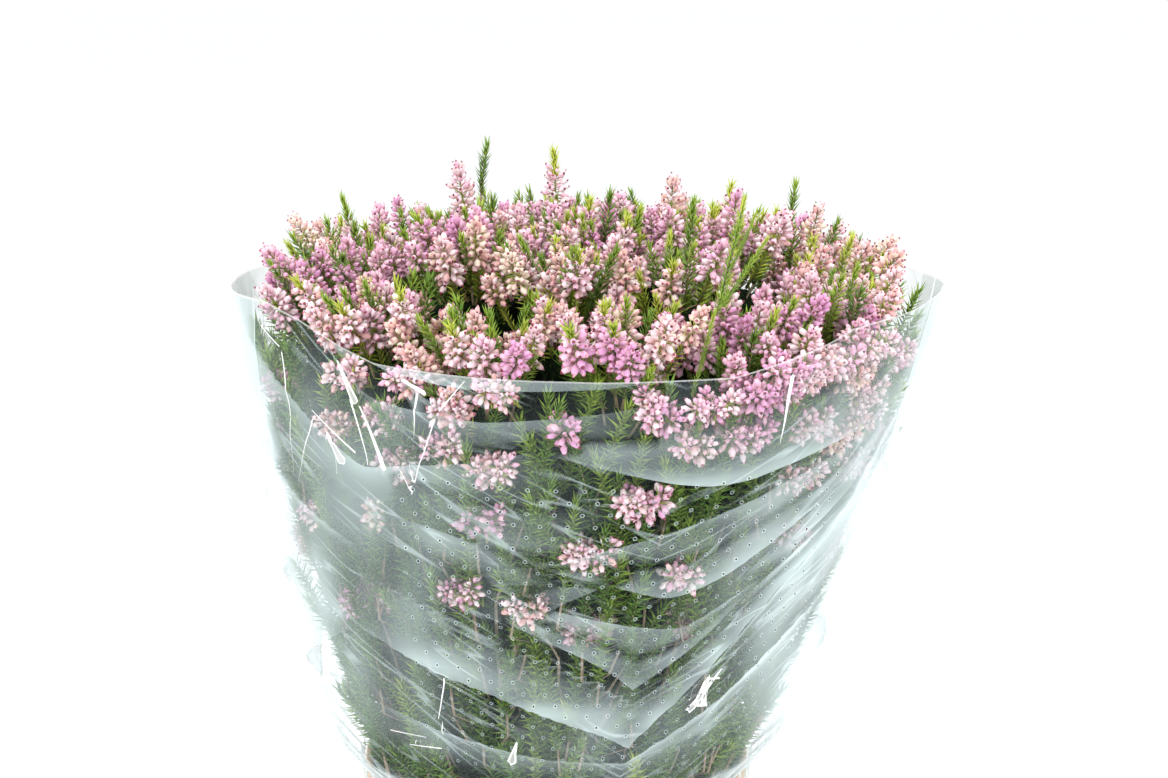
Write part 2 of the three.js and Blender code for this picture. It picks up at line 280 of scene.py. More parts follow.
class Piece:
    """One piece of the object, with its name, its node and slot, and its finishes by its faces' numbers."""

    title: str
    node: str
    slot: Slot
    coats: tuple[str, ...]
    label: str = ""

    def build(self) -> Shape:
        """Makes the piece's shape."""
        raise NotImplementedError

    def finished(self, finishes: Finishes) -> bpy.types.Object:
        """Builds the piece, gives it its finishes, hangs it under the root and hides the imported part that
        it stands for.

        Args:
            finishes: Every material by name.

        Returns:
            The piece.
        """
        shape = self.build()
        mesh = bpy.data.meshes.new(self.title + self.label)
        shape.to_mesh(mesh)
        shape.free()
        for coat in self.coats:
            mesh.materials.append(finishes[coat])
        piece = bpy.data.objects.new(self.title + self.label, mesh)
        bpy.context.scene.collection.objects.link(piece)
        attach(piece, "root")
        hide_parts(self.node + self.label)
        return piece


# Finishes


class Swatch:
    """One material and the tools to lay out its nodes."""

    def __init__(self, name: str, **values: float | Colour) -> None:
        """Starts a material with a surface shader.

        Args:
            name: The material's name.
            values: The shader's own values, by socket name with underscores for spaces.
        """
        self.material = bpy.data.materials.new(name)
        self.material.use_nodes = True
        self.tree = self.material.node_tree
        self.shader = self.tree.nodes["Principled BSDF"]
        for key, value in values.items():
            socket = self.shader.inputs[key.replace("_", " ")]
            socket.default_value = (*value, 1.0) if isinstance(value, tuple) and len(value) == 3 else value

    def node(self, kind: str, inputs: dict | None = None, **settings: object) -> bpy.types.Node:
        """Adds a node.

        Args:
            kind: Its type.
            inputs: Values or sockets by input name or number.
            settings: Its own settings.

        Returns:
            The node.
        """
        made = self.tree.nodes.new(kind)
        for key, value in settings.items():
            setattr(made, key, value)
        for key, value in (inputs or {}).items():
            if isinstance(value, Socket):
                self.tree.links.new(value, made.inputs[key])
            else:
                made.inputs[key].default_value = value
        return made

    def link(self, socket: Socket, name: str) -> None:
        """Feeds one of the shader's sockets."""
        self.tree.links.new(socket, self.shader.inputs[name])

    def place(self) -> Socket:
        """Gives the place in the object's own space."""
        return self.node("ShaderNodeTexCoord").outputs["Object"]

    def flat(self) -> Socket:
        """Gives the place on the film's own flat pattern."""
        return self.node("ShaderNodeUVMap", uv_map="cut").outputs[0]

    def drawn(self, place: Socket, scale: Sequence[float], turn: float = 0.0) -> Socket:
        """Gives a place that is scaled along each axis and turned about +Z."""
        values = {"Vector": place, "Rotation": (0, 0, turn), "Scale": scale}
        return self.node("ShaderNodeMapping", values).outputs[0]

    def grain(self, scale: float, detail: float = 3.0, roughness: float = 0.6,
              place: Socket | None = None) -> Socket:
        """Gives a noise.

        Args:
            scale: Its waves in a metre.
            detail: Its octaves.
            roughness: How strong its fine octaves are.
            place: The place that it is read at, or None for the object's own space.

        Returns:
            The noise's value.
        """
        at = self.place() if place is None else place
        values = {"Vector": at, "Scale": scale, "Detail": detail, "Roughness": roughness}
        return self.node("ShaderNodeTexNoise", values).outputs["Fac"]

    def mark(self, name: str) -> Socket:
        """Gives one of the mesh's own values."""
        return self.node("ShaderNodeAttribute", attribute_name=name).outputs["Fac"]

    def toned(self, patch: float, share: float) -> Socket:
        """Gives the mesh's tone, varied by a noise in patches, from 0 to 1."""
        shade = self.times(self.sum(self.grain(patch, 2.0), -0.5), share)
        return self.sum(self.mark("tone"), shade, clamp=True)

    def sum(self, first: Socket | float, second: Socket | float, operation: str = "ADD",
            clamp: bool = False) -> Socket:
        """Gives the result of one sum.

        Args:
            first: The first number.
            second: The second number.
            operation: The sum's kind.
            clamp: Whether the result stays between 0 and 1.

        Returns:
            The result.
        """
        made = self.node("ShaderNodeMath", {0: first, 1: second}, operation=operation, use_clamp=clamp)
        return made.outputs[0]

    def times(self, first: Socket, second: Socket | float) -> Socket:
        """Gives the product of two numbers."""
        return self.sum(first, second, "MULTIPLY")

    def most(self, first: Socket, second: Socket | float) -> Socket:
        """Gives the larger of two numbers."""
        return self.sum(first, second, "MAXIMUM")

    def over(self, value: Socket, limit: float) -> Socket:
        """Gives 1 where a value is over a limit and 0 elsewhere."""
        return self.sum(value, limit, "GREATER_THAN")

    def under(self, value: Socket, limit: float) -> Socket:
        """Gives 1 where a value is under a limit and 0 elsewhere."""
        return self.sum(value, limit, "LESS_THAN")

    def span(self, value: Socket, low: float, high: float, first: float = 0.0, last: float = 1.0,
             **settings: object) -> Socket:
        """Maps a value from one span to another and holds it there.

        Args:
            value: The value.
            low: The start of its own span.
            high: The end of its own span.
            first: The start of the new span.
            last: The end of the new span.
            settings: The node's own settings.

        Returns:
            The mapped value.
        """
        values = {"Value": value, "From Min": low, "From Max": high, "To Min": first, "To Max": last}
        return self.node("ShaderNodeMapRange", values, **settings).outputs[0]

    def ramp(self, value: Socket, stops: Sequence[tuple[float, Colour]]) -> Socket:
        """Gives a colour by a value.

        Args:
            value: The value.
            stops: Pairs of place and colour, from 0 to 1.

        Returns:
            The colour.
        """
        made = self.node("ShaderNodeValToRGB", {"Fac": value})
        band = made.color_ramp
        while len(band.elements) < len(stops):
            band.elements.new(0.5)
        for element, (place, colour) in zip(band.elements, stops):
            element.position = place
            element.color = (*colour, 1.0)
        return made.outputs["Color"]

    def mixed(self, part: Socket, first: Socket | Colour, second: Socket | Colour) -> Socket:
        """Gives a mix of two colours.

        Args:
            part: How much of the second.
            first: The first colour.
            second: The second colour.

        Returns:
            The mixed colour.
        """
        ends = [(*colour, 1.0) if isinstance(colour, tuple) else colour for colour in (first, second)]
        return self.node("ShaderNodeMix", {0: part, 6: ends[0], 7: ends[1]}, data_type="RGBA").outputs[2]

    def bump(self, height: Socket, depth: float, strength: float = 1.0) -> None:
        """Gives the surface a fine relief.

        Args:
            height: The relief, from 0 to 1.
            depth: Its depth in metres.
            strength: How much of it shows.
        """
        made = self.node("ShaderNodeBump", {"Height": height, "Distance": depth, "Strength": strength})
        self.link(made.outputs["Normal"], "Normal")


@dataclass(frozen=True)
class PetalFinish:
    """Waxy bells from lilac through pink and salmon to cream, paler at the mouth and darkened towards the
    root by painted shade.
    """

    lilac: Colour = (0.74, 0.36, 0.60)
    pink: Colour = (0.87, 0.54, 0.66)
    blush: Colour = (0.96, 0.83, 0.86)
    salmon: Colour = (0.80, 0.44, 0.42)
    cream: Colour = (0.93, 0.80, 0.66)
    # painted shade: the dark colour that each bell is mixed towards at its root
    root: Colour = (0.50, 0.20, 0.16)
    patch: float = 260.0
    share: float = 0.22

    def material(self) -> bpy.types.Material:
        """Makes the material.

        Returns:
            The material.
        """
        swatch = Swatch("heath petal", Roughness=0.42, Subsurface_Weight=0.0, Sheen_Weight=0.25)
        colour = swatch.ramp(swatch.toned(self.patch, self.share), (
            (0.0, self.lilac), (0.28, self.pink), (0.52, self.blush), (0.76, self.salmon), (1.0, self.cream)))
        # painted shade: each bell is darkened towards its root, where shade falls between the bells
        rooted = swatch.ramp(swatch.mark("along"), ((0.1, (0.75,) * 3), (0.45, (0.0,) * 3)))
        swatch.link(swatch.mixed(rooted, colour, self.root), "Base Color")
        return swatch.material


@dataclass(frozen=True)
class AntherFinish:
    """Maroon anthers at a bell's mouth, dark on most bells and pale on the youngest."""

    dark: Colour = (0.10, 0.014, 0.024)
    light: Colour = (0.34, 0.07, 0.11)
    pale: Colour = (0.72, 0.38, 0.44)
    patch: float = 150.0

    def material(self) -> bpy.types.Material:
        """Makes the material.

        Returns:
            The material.
        """
        swatch = Swatch("heath anther", Roughness=0.55)
        colour = swatch.ramp(swatch.grain(self.patch),
                             ((0.38, self.dark), (0.52, self.light), (0.60, self.pale)))
        swatch.link(colour, "Base Color")
        return swatch.material


@dataclass(frozen=True)
class NeedleFinish:
    """Needles from bluish deep green to yellow-green, lighter towards a sprig's tip."""

    deep: Colour = (0.014, 0.040, 0.008)
    dull: Colour = (0.045, 0.115, 0.016)
    green: Colour = (0.115, 0.225, 0.026)
    fresh: Colour = (0.27, 0.40, 0.04)
    yellow: Colour = (0.50, 0.56, 0.07)
    patch: float = 120.0
    share: float = 0.5

    def material(self) -> bpy.types.Material:
        """Makes the material.

        Returns:
            The material.
        """
        swatch = Swatch("heath needle", Roughness=0.5, Specular_IOR_Level=0.3)
        colour = swatch.ramp(swatch.toned(self.patch, self.share), (
            (0.0, self.deep), (0.28, self.dull), (0.52, self.green), (0.78, self.fresh), (1.0, self.yellow)))
        swatch.link(colour, "Base Color")
        return swatch.material


@dataclass(frozen=True)
class BarkFinish:
    """Bark that is grey-brown when old and orange-brown when young."""

    old: Colour = (0.17, 0.13, 0.095)
    grey: Colour = (0.40, 0.34, 0.26)
    young: Colour = (0.30, 0.19, 0.10)
    green: Colour = (0.24, 0.28, 0.07)
    flake: float = 420.0

    def material(self) -> bpy.types.Material:
        """Makes the material.

        Returns:
            The material.
        """
        swatch = Swatch("heath bark", Roughness=0.75)
        flakes = swatch.grain(self.flake, 5.0)
        wood = swatch.ramp(flakes, ((0.35, self.old), (0.68, self.grey)))
        skin = swatch.ramp(swatch.mark("tone"), ((0.5, self.young), (1.0, self.green)))
        part = swatch.sum(swatch.mark("tone"), 2.0, "MULTIPLY", clamp=True)
        swatch.link(swatch.mixed(part, wood, skin), "Base Color")
        swatch.bump(flakes, 0.0006)
        return swatch.material


@dataclass(frozen=True)
class PaintedShadeFinish:
    """Painted shade for the plant's inside: near-black green and brown, flecked like dead leaf and twigs."""

    dark: Colour = (0.004, 0.008, 0.004)
    leaf: Colour = (0.014, 0.034, 0.010)
    twig: Colour = (0.050, 0.032, 0.020)
    fleck: float = 330.0

    def material(self) -> bpy.types.Material:
        """Makes the material.

        Returns:
            The material.
        """
        # painted shade: near-black, so that the plant's inside reads as deep shade
        swatch = Swatch("heath shade", Roughness=0.95, Specular_IOR_Level=0.1)
        flecks = swatch.grain(self.fleck, 4.0, 0.7, swatch.drawn(swatch.place(), (1, 1, 0.3)))
        colour = swatch.ramp(flecks, ((0.42, self.dark), (0.6, self.leaf), (0.72, self.twig)))
        swatch.link(colour, "Base Color")
        swatch.bump(flecks, 0.004)
        return swatch.material


@dataclass(frozen=True)
class PotFinish:
    """Matt tan moulded plastic with a faint grain, light scuffs and streaks of soil dust."""

    tan: Colour = (0.66, 0.47, 0.31)
    shade: Colour = (0.55, 0.37, 0.23)
    dust: Colour = (0.30, 0.22, 0.15)
    cloud: float = 9.0
    scuff: float = 55.0
    pores: float = 900.0

    def material(self) -> bpy.types.Material:
        """Makes the material.

        Returns:
            The material.
        """
        swatch = Swatch("tan plastic", Specular_IOR_Level=0.4)
        cloud = swatch.ramp(swatch.grain(self.cloud, 4.0), ((0.3, self.shade), (0.7, self.tan)))
        scuffs = swatch.grain(self.scuff, 6.0, 0.7, swatch.drawn(swatch.place(), (1, 1, 7)))
        worn = swatch.ramp(scuffs, ((0.62, (0.0,) * 3), (0.74, (0.35,) * 3)))
        swatch.link(swatch.mixed(worn, cloud, self.dust), "Base Color")
        swatch.link(swatch.span(scuffs, 0.0, 1.0, 0.42, 0.68), "Roughness")
        swatch.bump(swatch.grain(self.pores, 2.0), 0.00025, 0.5)
        return swatch.material


@dataclass(frozen=True)
class PeatFinish:
    """Moist dark peat with paler fibres."""

    wet: Colour = (0.012, 0.008, 0.005)
    dry: Colour = (0.075, 0.045, 0.025)
    fibre: Colour = (0.20, 0.13, 0.075)
    crumb: float = 260.0

    def material(self) -> bpy.types.Material:
        """Makes the material.

        Returns:
            The material.
        """
        swatch = Swatch("moist peat", Roughness=0.92, Specular_IOR_Level=0.2)
        crumbs = swatch.grain(self.crumb, 6.0, 0.7)
        colour = swatch.ramp(crumbs, ((0.3, self.wet), (0.6, self.dry), (0.78, self.fibre)))
        swatch.link(colour, "Base Color")
        swatch.bump(crumbs, 0.003)
        return swatch.material


@dataclass(frozen=True)
class FilmFinish:
    """Clear glossy film, milky where it folds over itself, with rows of tiny ringed holes; its milky bands
    are partly painted reflection, and its glints and cut edges are painted highlights.
    """

    tint: Colour = (0.585, 0.69, 0.70)
    # painted highlight: the white that the glints and cut edges are coloured
    shine: Colour = (1.0, 1.0, 1.0)
    clear: float = 0.012
    # the milky bands are partly the film's own milkiness where it doubles and gathers and partly painted
    # reflection of the bright studio
    milky: float = 0.70
    veil_most: float = 0.9
    edge: float = 0.62
    hole_step: float = 0.0122
    hole: float = 0.0008
    ring: float = 0.00145
    ring_veil: float = 0.4
    crinkle: float = 95.0
    crinkle_depth: float = 0.0012
    crinkle_strength: float = 0.6
    # painted highlights: the crumpled film's facets and crease lines that are coloured white
    painted_facet: float = 82.0
    facet_slant: float = math.radians(-14)
    facet_stretch: float = 0.24
    facet_lot: float = 0.86
    facet_gleam: float = 0.3
    line_lot: float = 0.5
    line_gleam: float = 0.2
    crease: float = 0.014
    painted_crumple: float = 380.0
    crumple_cut: float = 0.46
    crumple_dim: float = 0.2
    band_fade: float = 0.3679
    doubled: float = 0.36
    # painted highlight: the bright line along the doubled film's edge
    ply_edge: float = 0.0006
    ply_edge_veil: float = 0.9
    streak: float = 34.0
    streak_slant: float = 0.12
    streak_stretch: float = 0.16
    # painted highlights: the listed glint lines, bright at their edges and paler inside
    glint_edge: float = 0.00035
    glint_inner: float = 0.42
    glint_most: float = 0.88
    # painted highlight: how strongly the glints turn the colour white
    whitening: float = 2.5
    # painted highlight: a thin white line along the film's cut top and bottom edges
    rim: float = 0.0011
    rim_shine: float = 0.34
    length: float = FILM_LENGTH
    face_middle: float = 1.183
    face_half: float = 0.375
    crease_fall: float = 0.5
    crease_run: float = 8.0
    crease_step: float = 58.0
    crease_width: float = 0.030
    crease_veil: float = 0.42
    crease_patch: float = 14.0

    def ringed(self, swatch: Swatch) -> tuple[Socket, Socket]:
        """Lays out the holes on the film's own flat pattern.

        Args:
            swatch: The film's material.

        Returns:
            How much a point is in a hole's ring, and how much it is in a hole.
        """
        turned = swatch.drawn(swatch.flat(), (1 / self.hole_step,) * 3, math.radians(45))
        cell = swatch.node("ShaderNodeVectorMath", {0: turned}, operation="FRACTION").outputs[0]
        middle = swatch.node("ShaderNodeVectorMath", {0: cell, 1: (0.5, 0.5, 0.0)}, operation="DISTANCE")
        far = swatch.times(middle.outputs["Value"], self.hole_step)
        holed = swatch.over(swatch.mark("holed"), 0.5)
        inside = swatch.times(swatch.under(far, self.hole), holed)
        return swatch.sum(swatch.times(swatch.under(far, self.ring), holed), inside, "SUBTRACT"), inside

    def glints(self, swatch: Swatch) -> Socket:
        """Lays out the painted highlights: sharp facets and creases coloured white where the film is
        crumpled, and the listed glint lines.

        Args:
            swatch: The film's material.

        Returns:
            How much painted highlight a point has.
        """
        place = swatch.drawn(swatch.flat(), (1.0, self.facet_stretch, 1.0), self.facet_slant)
        values = {"Vector": place, "Scale": self.painted_facet}
        cells = swatch.node("ShaderNodeTexVoronoi", values, voronoi_dimensions="2D")
        edges = swatch.node("ShaderNodeTexVoronoi", values, voronoi_dimensions="2D",
                            feature="DISTANCE_TO_EDGE")
        gleam = swatch.mark("gleam")
        lot = swatch.node("ShaderNodeSeparateColor", {"Color": cells.outputs["Color"]}).outputs[0]
        crumpled = swatch.over(swatch.grain(self.painted_crumple, 1.0, 0.5, place), self.crumple_cut)
        painted_facet = swatch.times(swatch.over(lot, self.facet_lot), swatch.over(gleam, self.facet_gleam))
        painted_facet = swatch.times(painted_facet, swatch.most(crumpled, self.crumple_dim))
        line = swatch.under(edges.outputs["Distance"], self.crease)
        chosen = swatch.times(swatch.over(lot, self.line_lot), swatch.over(gleam, self.line_gleam))
        painted_crumple = swatch.most(painted_facet, swatch.times(line, chosen))
        # painted highlights along the listed glint lines of each group
        for group in range(GLINT_GROUPS):
            across = swatch.sum(swatch.mark(f"across_{group}"), 0.0, "ABSOLUTE")
            depth = swatch.sum(swatch.mark(f"slim_{group}"), across, "SUBTRACT")
            lit = swatch.span(depth, 0.0, self.glint_edge)
            inner = swatch.span(depth, 2 * self.glint_edge, 5 * self.glint_edge, 1.0, self.glint_inner)
            painted_crumple = swatch.most(painted_crumple, swatch.times(lit, inner))
        return painted_crumple

    def creases(self, swatch: Swatch) -> Socket:
        """Lays out the fine milky creases that run down to the middle of each face, partly the film's own
        milkiness and partly painted reflection.

        Args:
            swatch: The film's material.

        Returns:
            How much a point lies on a crease.
        """
        flat = swatch.flat()
        place = swatch.node("ShaderNodeSeparateXYZ", {0: flat})
        aside = swatch.sum(swatch.sum(place.outputs[0], -self.face_middle), self.face_half, "PINGPONG")
        fall = swatch.sum(place.outputs[1], swatch.times(aside, self.crease_fall), "SUBTRACT")
        run = swatch.times(aside, self.crease_run)
        drawn = swatch.node("ShaderNodeCombineXYZ", {0: run, 1: swatch.times(fall, self.crease_step)})
        lines = swatch.sum(swatch.grain(1.0, 1.0, 0.5, drawn.outputs[0]), -0.5)
        slim = swatch.span(swatch.sum(lines, 0.0, "ABSOLUTE"), 0.0, self.crease_width, self.crease_veil, 0.0)
        kept = swatch.span(swatch.grain(self.crease_patch, 1.0, 0.5, flat), 0.44, 0.60)
        return swatch.times(slim, kept)

    def milk_and_reflection(self, swatch: Swatch) -> Socket:
        """Lays out the milky bands, sharp along each fold and fading away from it; they are partly the film's
        own milkiness where it doubles and gathers and partly painted reflection of the bright studio.

        Args:
            swatch: The film's material.

        Returns:
            How milky a point is.
        """
        into = swatch.mark("fold")
        band = swatch.times(swatch.sum(self.band_fade, into, "POWER"), swatch.over(into, 0.0))
        ply = swatch.mark("ply")
        drawn = swatch.drawn(swatch.flat(), (1, self.streak_stretch, 1), self.streak_slant)
        streaks = swatch.grain(self.streak, 3.0, 0.5, drawn)
        thick = swatch.span(streaks, 0.32, 0.66, 0.55 * self.doubled, 1.25 * self.doubled)
        # painted highlight: a bright line along the edge of the doubled film
        edge = swatch.under(swatch.sum(ply, 0.0, "ABSOLUTE"), self.ply_edge)
        within = swatch.times(swatch.over(ply, 0.0), thick)
        doubled = swatch.most(within, swatch.times(edge, self.ply_edge_veil))
        # the fold bands and hazy patches: partly the film's own milkiness, partly painted reflection
        milky = swatch.sum(swatch.times(band, swatch.mark("veil_and_reflection")), swatch.mark("haze_and_reflection"))
        return swatch.sum(swatch.sum(milky, self.creases(swatch)), doubled)

    def material(self) -> bpy.types.Material:
        """Makes the material.

        Returns:
            The material.
        """
        swatch = Swatch("clear film", Base_Color=self.tint, IOR=1.45, Roughness=0.15, Specular_IOR_Level=0.2)
        ringed, inside = self.ringed(swatch)
        facing = swatch.node("ShaderNodeLayerWeight", {"Blend": 0.5}).outputs["Facing"]
        grazing = swatch.span(facing, 0.45, 0.97, 0.0, self.edge, interpolation_type="SMOOTHSTEP")
        height = swatch.node("ShaderNodeSeparateXYZ", {0: swatch.flat()}).outputs[1]
        # painted highlight along the film's cut top and bottom edges
        ends = swatch.sum(swatch.over(height, self.length - self.rim), swatch.under(height, self.rim))
        # partly painted reflection: the milky bands, hazy patches and creases
        veil_and_reflection = swatch.sum(swatch.times(self.milk_and_reflection(swatch), self.milky), self.clear)
        # painted highlights: the glints and the edge line are coloured white and made nearly opaque
        glinting = swatch.times(self.glints(swatch), self.glint_most)
        shining = swatch.most(glinting, swatch.times(ends, self.rim_shine))
        white = swatch.sum(shining, self.whitening, "MULTIPLY", clamp=True)
        swatch.link(swatch.mixed(white, self.tint, self.shine), "Base Color")
        whole = swatch.sum(swatch.sum(veil_and_reflection, grazing), swatch.times(ringed, self.ring_veil))
        whole = swatch.most(swatch.sum(whole, self.veil_most, "MINIMUM"), shining)
        swatch.link(swatch.sum(whole, swatch.times(inside, -1.0), clamp=True), "Alpha")
        swatch.bump(swatch.grain(self.crinkle), self.crinkle_depth, self.crinkle_strength)
        return swatch.material


@dataclass(frozen=True)
class FloorFinish:
    """Plain pale studio floor."""

    pale: Colour = (0.985, 0.99, 0.995)

    def material(self) -> bpy.types.Material:
        """Makes the material."""
        return Swatch("studio floor", Base_Color=self.pale, Roughness=0.85, Specular_IOR_Level=0.1).material


# The plant's form


@dataclass(frozen=True)
class Funnel:
    """The leaning funnel that the film and the plant fill, known at a few heights."""

    heights: tuple[float, ...] = (0.186, 0.212, 0.241, 0.385, 0.457, 0.520, 0.640)
    film: tuple[float, ...] = (0.1323, 0.1323, 0.157, 0.199, 0.218, 0.229, 0.235)
    reach: tuple[float, ...] = (0.086, 0.104, 0.136, 0.183, 0.203, 0.214, 0.220)
    lean: float = 0.020
    lean_power: float = 1.3
    lean_most: float = 1.1
    pot_top: float = 0.208
    peat_top: float = 0.186
    gather: float = 0.212
    mouth: float = 0.520
    wave: float = 0.0045

    def film_at(self, height: float) -> float:
        """Gives the film's radius at a height."""
        return float(np.interp(height, self.heights, self.film))

    def reach_at(self, height: float) -> float:
        """Gives the plant's reach at a height."""
        return float(np.interp(height, self.heights, self.reach))

    def lean_at(self, height: float) -> float:
        """Gives how far the plant leans to +X at a height."""
        part = max(0.0, height - self.pot_top) / (self.mouth - self.pot_top)
        return self.lean * min(self.lean_most, part) ** self.lean_power

    def climb_at(self, height: float) -> float:
        """Gives how far a height lies between the pot and the film's mouth, from 0."""
        return max(0.0, height - self.gather) / (self.mouth - self.gather)

    def wave_at(self, turn: float, height: float) -> float:
        """Gives how far the film's slow waves stand out at a place.

        Args:
            turn: Its turn about the funnel's middle, in radians.
            height: Its height.

        Returns:
            The distance; where a wave goes inward it is less than 0.
        """
        climb = min(1.0, self.climb_at(height))
        slow = 0.6 * math.cos(5 * turn) + 0.4 * math.cos(8 * turn + 9 * climb)
        return self.wave * math.sqrt(climb) * slow

    def on_film(self, turn: float, height: float, inside: float) -> Vector:
        """Gives a point near the film.

        Args:
            turn: Its turn about the funnel's middle, in radians.
            height: Its height.
            inside: How far it lies inside the film.

        Returns:
            The point.
        """
        radius = self.film_at(height) + self.wave_at(turn, height) - inside
        return Vector((self.lean_at(height) + radius * math.cos(turn), radius * math.sin(turn), height))


@dataclass(frozen=True)
class Ring:
    """Stems that stand evenly round the middle, each with its own rise over the crown's dome."""

    radius: float
    phase: float
    outer: bool
    rises: tuple[float, ...]


@dataclass(frozen=True)
class StemCell:
    """The room of one stem."""

    number: int
    turn: float
    radius: float
    outer: bool
    leafy: bool
    low_head: bool
    top: float
    wander_turn: float


@dataclass(frozen=True)
class Plant:
    """Where every stem stands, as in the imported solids."""

    funnel: Funnel = field(default_factory=Funnel)
    rings: tuple[Ring, ...] = (
        Ring(0.0, 0.0, False, (6,)),
        Ring(0.42, 53.0, False, (28, 34, 40, 4, -4, 12, 26)),
        Ring(0.8, 0.0, True, (8, 22, 20, 10, 12, 22, 24, 6, -8, -20, -14, -18, -8)),
    )
    crown_top: float = 0.584
    crown_drop: float = 0.030
    leafy: tuple[int, ...] = (7, 9, 15)
    low_heads: tuple[int, ...] = (9, 12, 16, 17, 19, 20, 21)
    hosts: dict[int, int] = field(default_factory=lambda: {7: 6, 9: 10, 15: 16})
    inward_turn: float = math.radians(150)
    cell_share: float = 0.18
    margin: float = 0.001
    wander: float = 0.22
    straight: float = 0.006
    hole: float = 0.026
    head_height: float = 0.060
    bulk_rise: float = 0.004
    reach_most: float = 0.229
    crown_draw: float = 0.012
    crown_drawn: tuple[float, float] = (0.500, 0.555)

    def cells(self) -> list[StemCell]:
        """Lists every stem's cell.

        Returns:
            The cells.
        """
        found: list[StemCell] = []
        for ring in self.rings:
            for place, rise in enumerate(ring.rises):
                number = len(found) + 1
                turn = math.radians(ring.phase + 360 * place / len(ring.rises))
                low = number in self.low_heads
                found.append(StemCell(
                    number=number, turn=turn, radius=ring.radius, outer=ring.outer,
                    leafy=number in self.leafy, low_head=low,
                    top=self.crown_top - self.crown_drop * ring.radius ** 2 + rise / 1000,
                    wander_turn=turn + self.inward_turn if low else GOLDEN * number))
        return found

    def middle(self, cell: StemCell, height: float) -> Vector:
        """Gives a cell's middle at a height.

        Args:
            cell: The cell.
            height: The height.

        Returns:
            The point.
        """
        reach = self.funnel.reach_at(height) * cell.radius
        return Vector((self.funnel.lean_at(height) + reach * math.cos(cell.turn),
                       reach * math.sin(cell.turn), height))

    def room(self, height: float) -> float:
        """Gives a cell's radius at a height."""
        return self.cell_share * self.funnel.reach_at(height) - self.margin

    def bulk_top(self, cell: StemCell) -> float:
        """Gives the height that most of a cell's heads reach; a few stand higher."""
        return min(cell.top, self.crown_top - self.crown_drop * cell.radius ** 2 + self.bulk_rise)

    def kept_in(self, point: Vector, gap: float) -> Vector:
        """Keeps a point away from the film.

        Args:
            point: The point.
            gap: The least distance that it keeps from the film.

        Returns:
            The point, drawn in where it would come closer than the gap.
        """
        middle = Vector((self.funnel.lean_at(point.z), 0, point.z))
        reach = (point - middle).length
        turn = math.atan2(point.y, point.x - middle.x)
        most = min(self.funnel.film_at(point.z) + self.funnel.wave_at(turn, point.z), self.reach_most) - gap
        most -= self.crown_draw * smooth_step(*self.crown_drawn, point.z)
        return point if reach <= most else middle + (point - middle) * (most / reach)

    def stem_end(self, cell: StemCell) -> float:
        """Gives the height at which a stem ends or gives way to its flower head."""
        return cell.top if cell.leafy else cell.top - self.head_height

    def knots(self, cell: StemCell) -> list[Vector]:
        """Lists the points that a stem passes through.

        Args:
            cell: The stem's cell.

        Returns:
            Its knots, from its foot in the peat to its end.
        """
        end = self.stem_end(cell)
        start = self.funnel.peat_top + self.straight
        heights = [h for h in (start, *self.funnel.heights[1:]) if h < end - self.straight] + [end]
        knots = []
        for height in heights:
            part = (height - self.funnel.peat_top) / (cell.top - self.funnel.peat_top)
            off = self.wander * self.room(height) * math.sin(math.pi * part)
            knots.append(self.middle(cell, height) + heading(cell.wander_turn, LEVEL) * off)
        foot = Vector((knots[0].x, knots[0].y, self.funnel.peat_top - self.hole))
        return [foot, *knots]


# The plant's moulds


@dataclass(frozen=True)
class NeedleMould:
    """One needle: slim, flat and pointed."""

    length: float = 0.0092
    width: float = 0.00082
    broad: float = 1.4
    widest: float = 0.42
    flatness: float = 0.6
    sides: int = 3

    def build(self) -> Mould:
        """Makes the mould."""
        profile = ((0.0, 0.0), (self.width, self.widest * self.length), (0.0, self.length))
        return self.flat(spun(profile, self.sides))

    def build_plain(self) -> Mould:
        """Makes the mould with a broad foot, for the needles that are seen through the film.

        Returns:
            The mould.
        """
        shape = blank()
        bmesh.ops.create_cone(shape, cap_ends=True, segments=self.sides, radius1=self.broad * self.width,
                              radius2=0.0, depth=self.length)
        bmesh.ops.translate(shape, vec=(0, 0, self.length / 2), verts=shape.verts)
        return self.flat(shape)

    def flat(self, shape: Shape) -> Mould:
        """Flattens a needle and makes it a mould.

        Args:
            shape: The needle's shape.

        Returns:
            The mould.
        """
        bmesh.ops.scale(shape, vec=(1, self.flatness, 1), verts=shape.verts)
        smooth(shape)
        return Mould("needle", shape)


@dataclass(frozen=True)
class BellMould:
    """One bell on its slender root, with its anthers standing out of its mouth."""

    length: float = 0.0086
    foot: float = 0.0036
    neck: float = 0.35
    belly: float = 0.0020
    belly_height: float = 0.5
    mouth: float = 0.0011
    anther: float = 0.0015
    sides: int = 5

    def build(self) -> Mould:
        """Makes the mould, whose anthers are material 1.

        Returns:
            The mould.
        """
        body = self.length - self.foot
        shape = spun(((0.0, 0.0), (self.neck * self.belly, self.foot),
                      (self.belly, self.foot + self.belly_height * body), (self.mouth, self.length),
                      (0.0, self.length + self.anther)), self.sides)
        smooth(shape)
        for face in shape.faces:
            face.material_index = int(face.calc_center_median().z > self.length)
        return Mould("bell", shape)


